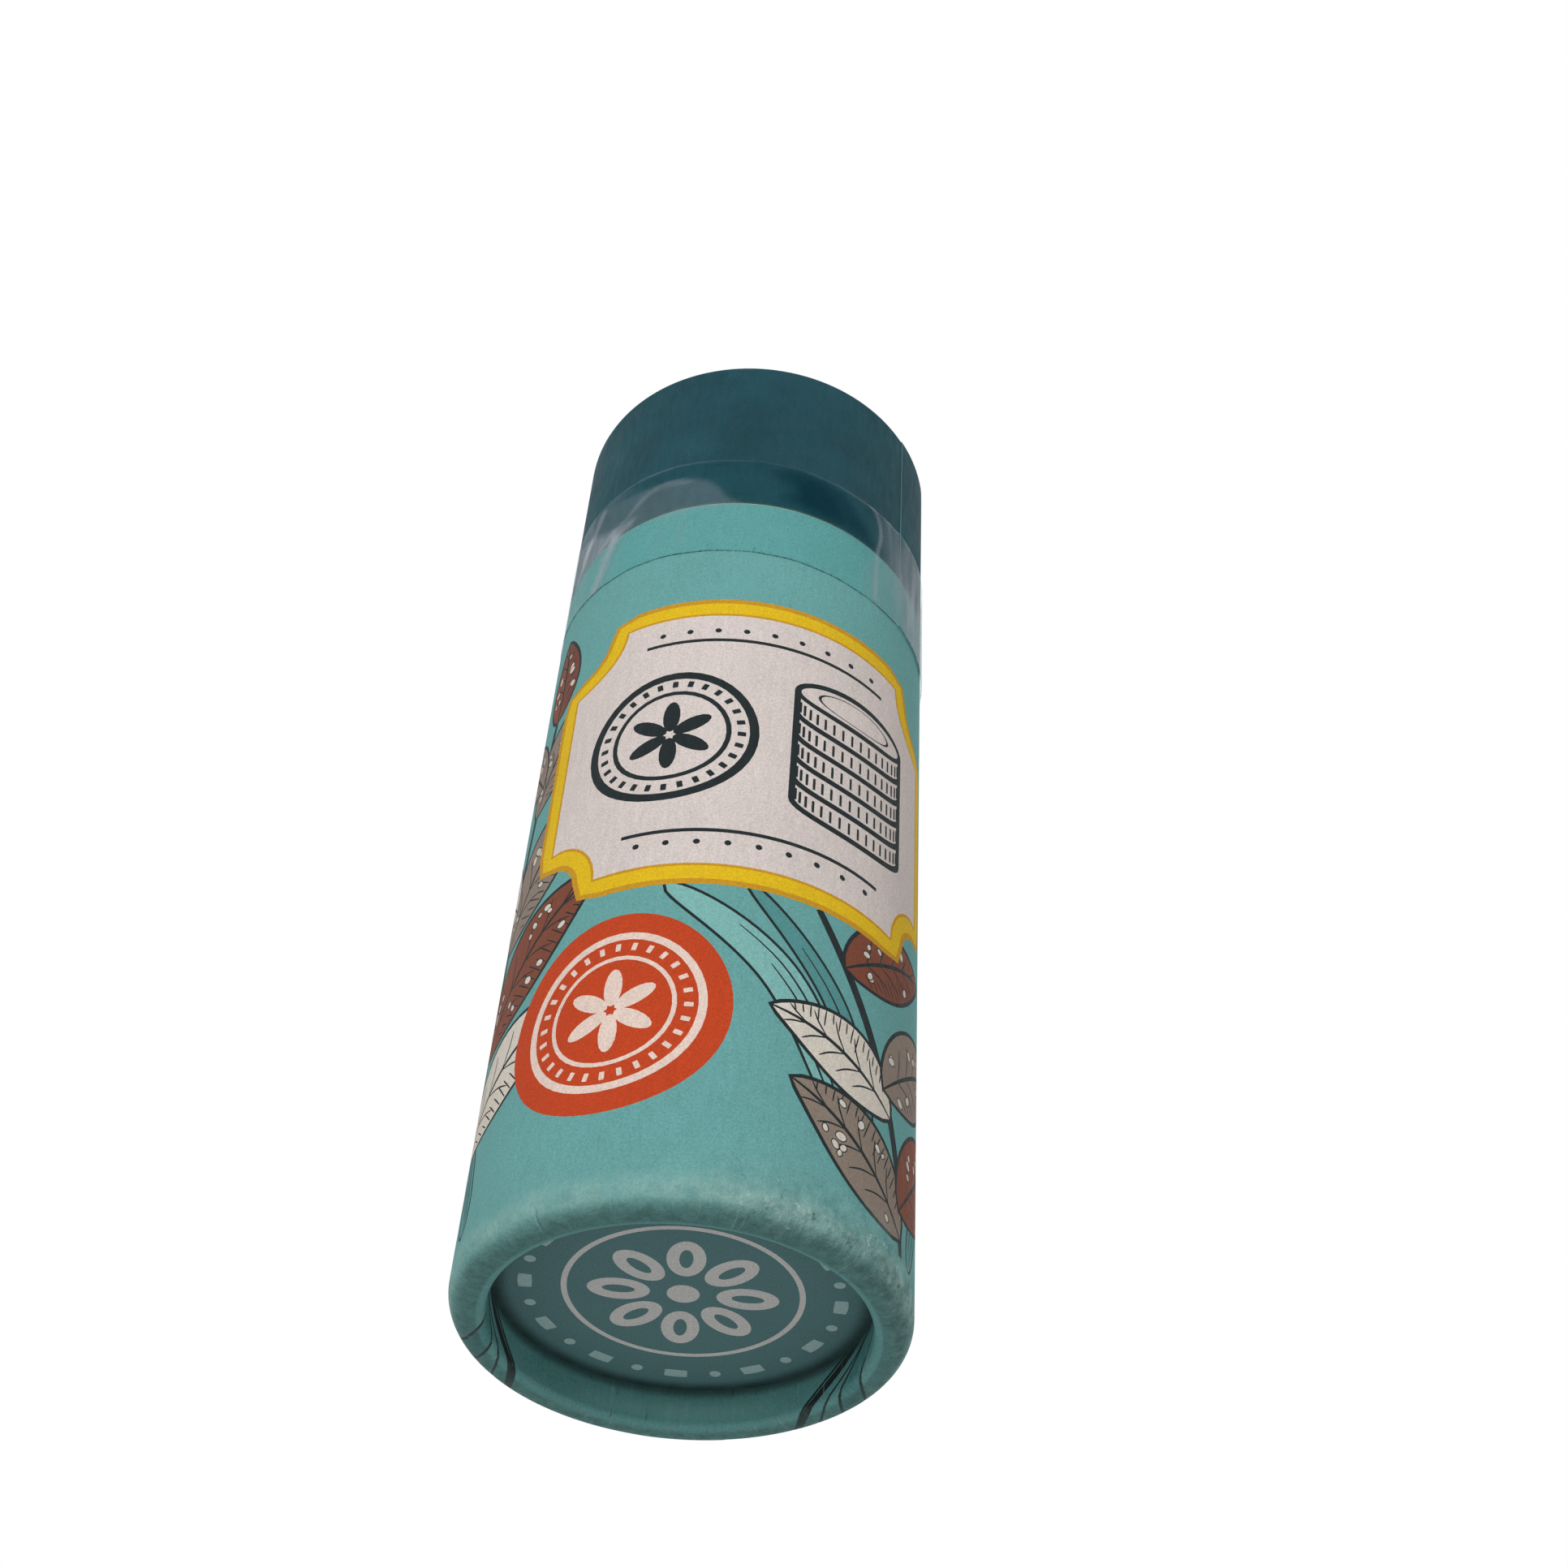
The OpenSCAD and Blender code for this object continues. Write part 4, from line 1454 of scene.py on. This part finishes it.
def sheenAt(azimuth, u):  # how strong the painted sheens are there
    look = tapeShape
    bend, bends = look["sheenBend"]
    total = 0.0
    for lowPlace, topPlace, half, start, end, strength in look["sheens"]:
        middle = lowPlace + (topPlace - lowPlace) * u + half * bend * sin(bends * u + lowPlace)
        across = abs((azimuth - middle + 180) % 360 - 180) / half
        if across < 1 and start < u < end:
            firm = look["sheenFirm"][0 if half > look["sheenWide"] else 1]
            soft = 1 - max(0.0, across - firm) / (1 - firm)
            ends = min(1.0, (u - start) / look["sheenEnds"], (end - u) / look["sheenEnds"])
            total += strength * eased(soft) * ends
    return total


def filmLift(a, run):  # how far the film stands off at that angle, where it has run that far along its turn
    look = tapeShape
    climb = look["lapClimb"]
    over = max(0.0, min(1.0, (run - (2 * pi - climb / tubeR)) * tubeR / climb))
    (before, steep), (lap, gentle) = look["seamRise"], look["seamFall"]
    bulge = 0.0
    for sheet in (capSheet, tubeSheet):
        seam = radians(sheet["seamAngle"]) - pi / 2
        reach = ((a - seam + pi) % (2 * pi) - pi) * tubeR
        up = 1 / (1 + exp(-(reach + before) * steep))
        bulge = max(bulge, up * (1 - 1 / (1 + exp(-(reach - lap) * gentle))))
    return look["lie"] + over * (look["thickness"] + look["lapGap"]) + bulge * look["seamLift"]


def addTape():  # one turn of film with a short lap at the back, which climbs over the two paper seams
    look = tapeShape
    steps, heights, width = look["steps"], look["heights"], look["width"]
    count = len(heights)
    chance = random.Random(5)
    waves = [(chance.uniform(0, 6.3), chance.randint(5, 17), chance.uniform(0.2, 1.0))
             for _ in range(look["ripples"])]
    turn = 2 * pi + look["lapWidth"] / tubeR
    angles = look["lapAngle"] + degrees(turn) * np.arange(steps + 1) / steps
    # the painted reflections at every point of the band
    paintedReflections, clingings = filmMarks(np.repeat(angles, count), np.tile(heights, steps + 1))
    topHighlightBase, topHighlightFront, topHighlightWaves = look["topHighlight"]
    points, marks = [], []
    for side in (0, 1):
        for k in range(steps + 1):
            run = turn * k / steps
            a = radians(look["lapAngle"]) + run
            lift = filmLift(a, run) + side * look["thickness"]
            low = look["lowMiddle"] - look["tilt"] * cos(a - radians(look["tiltAngle"]))
            low += sum(high * sin(n * a + phase) for n, high, phase in look["wander"])
            # a painted highlight along the top edge, stronger towards the sides
            topHighlightShare = topHighlightBase + topHighlightFront * cos(a) ** 2 + topHighlightWaves * sin(5 * a)
            for i, u in enumerate(heights):
                ripple = sum(w * sin(n * a + p + 3 * u) for p, n, w in waves) * look["rippleHeight"]
                points.append((*onRing(tubeR + lift + max(0, ripple), a), low + width * u))
                grime = max(0.0, 1 - u * width / look["grimeWidth"])
                topHighlight = topHighlightShare * max(0.0, 1 - (1 - u) * width / look["topHighlightWidth"])
                # the green channel holds the painted reflections and the painted highlight on the top edge
                pale = min(look["strongestReflection"], sheenAt(degrees(a), u) + paintedReflections[k * count + i] + topHighlight)
                stray = 1.0 if u * width < look["strayWidth"] else 0.0
                marks.append((grime, pale, stray, clingings[k * count + i]))
    inner, outer = np.arange(len(points)).reshape(2, steps + 1, count)
    faces = skin(np.concatenate([outer, inner[:, ::-1]], 1), closed=True)
    faces += skin([inner[0], outer[0]]) + skin([outer[-1], inner[-1]])
    mesh = newMesh("tape_band", points, faces)
    addLayer(mesh, "marks", "POINT", marks)
    piece = placed("tape_band", smoothed(mesh, 40))
    mesh.materials.append(clearTape)
    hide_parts("seal_tape")
    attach(piece, "seal")


# Coins

coinShape = {
    "rimWidth": 1.2,
    "rimSlope": (0.1, 0.15),
    "fieldDepth": 0.3,
    "beads": 48,
    "beadRing": 10.6,
    "beadHalf": 0.45,
    "beadHeight": 0.16,
    "lineRing": 9.2,
    "lineHalf": 0.16,
    "lineHeight": 0.1,
    "petals": 8,
    "petalPlace": 5.2,
    "petalHalf": (2.6, 1.45),
    "petalHeight": 0.2,
    "petalHollow": 0.6,
    "bossRadius": 1.7,
    "reeds": 96,
    "reedParts": 10,  # the edge is reeded and plain by turns
    "reedDepth": 0.1,
    "chamfer": 0.15,
    "innerRings": [0.0, 0.8, 1.35, 1.55, 1.75, 2.1] + [2.45 + 0.25 * k for k in range(23)],
    "outerRings": [8.8, 9.02, 9.1, 9.3, 9.38, 9.9, 10.2, 10.4, 10.6, 10.8, 11.0, 11.15],
}


def struckHeight(r, a):  # height of the face above its field at that radius and azimuth
    look = coinShape
    if r >= coinR - look["rimWidth"] + look["rimSlope"][0]:
        return look["fieldDepth"]
    onBeads = max(0.0, 1 - abs(r - look["beadRing"]) / look["beadHalf"])
    bead = min(1.0, 2.2 * onBeads * (0.5 + 0.5 * cos(look["beads"] * a)))
    line = 1.0 if abs(r - look["lineRing"]) < look["lineHalf"] else 0.0
    turn = 2 * pi / look["petals"]
    off = (a + turn / 2) % turn - turn / 2
    out, across = r * cos(off) - look["petalPlace"], r * sin(off)
    depth = 1 - (out / look["petalHalf"][0]) ** 2 - (across / look["petalHalf"][1]) ** 2
    hollow = look["petalHollow"] * max(0.0, min(1.0, (depth - 0.5) * 6))
    petal = max(0.0, min(1.0, depth * 4)) - hollow
    boss = max(0.0, min(1.0, (look["bossRadius"] - r) * 3))
    return max(bead * look["beadHeight"], line * look["lineHeight"],
               petal * look["petalHeight"], boss * look["petalHeight"])


def coinMesh(thick):
    look = coinShape
    steps = look["reeds"] * 2
    field = coinR - look["rimWidth"]
    rings = look["innerRings"] + look["outerRings"]
    rings += [field, field + look["rimSlope"][1], coinR - look["chamfer"]]
    angles = [2 * pi * k / steps for k in range(steps)]
    points, struck = [], []

    def addPoint(r, a, way):  # on the upper face where way is 1, on the lower one where it is -1
        rise = struckHeight(r, a)
        points.append((*onRing(r, a), thick / 2 + way * (thick / 2 - look["fieldDepth"] + rise)))
        struck.append(min(1.0, rise / look["petalHeight"]))

    for r in rings[1:]:
        for a in angles:
            addPoint(r, a, 1)
    for z in (thick - look["chamfer"], look["chamfer"]):
        for k, a in enumerate(angles):
            reeded = k % 2 and (k * look["reedParts"] // steps) % 2 == 0
            points.append((*onRing(coinR - (look["reedDepth"] if reeded else 0.0), a), z))
            struck.append(0.3 if reeded else 0.8)
    for r in rings[:0:-1]:
        for a in angles:
            addPoint(r, a, -1)
    rows = np.arange(len(points)).reshape(-1, steps)
    faces = skin(rows, closed=True)
    for row, way in ((rows[0], 1), (rows[-1], -1)):
        middle = len(points)
        addPoint(0.0, 0.0, way)
        faces += [(middle, row[k], row[(k + 1) % steps])[::way] for k in range(steps)]
    mesh = newMesh("coin", points, faces)
    addLayer(mesh, "struck", "POINT", np.repeat(np.array(struck), 4))
    mesh.materials.append(coinBronze)
    return smoothed(mesh, 28)


def addCoins():
    chance = random.Random(11)
    names = sorted(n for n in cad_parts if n.startswith("coin_"))
    _, low, high = cadSpan(names[0])
    mesh = coinMesh(high - low)
    for name in names:
        piece = placed(name.replace("coin", "struck_coin"), mesh)
        piece.location.z = cadSpan(name)[1] * mm
        piece.rotation_euler.z = pi / 2 * chance.randrange(4)
        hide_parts(name)
        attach(piece, "coins")
    return len(names)


addTubeWrap()
print("tube paper laid, with its rim and print")
addBasePrint()
print("base label laid in the recess")
addCapWrap()
addCapPrint()
print("cap paper and label laid")
addBoards()
print("boards and liners finished")
addTape()
print("tape wound round the join")
print("coins struck:", addCoins())
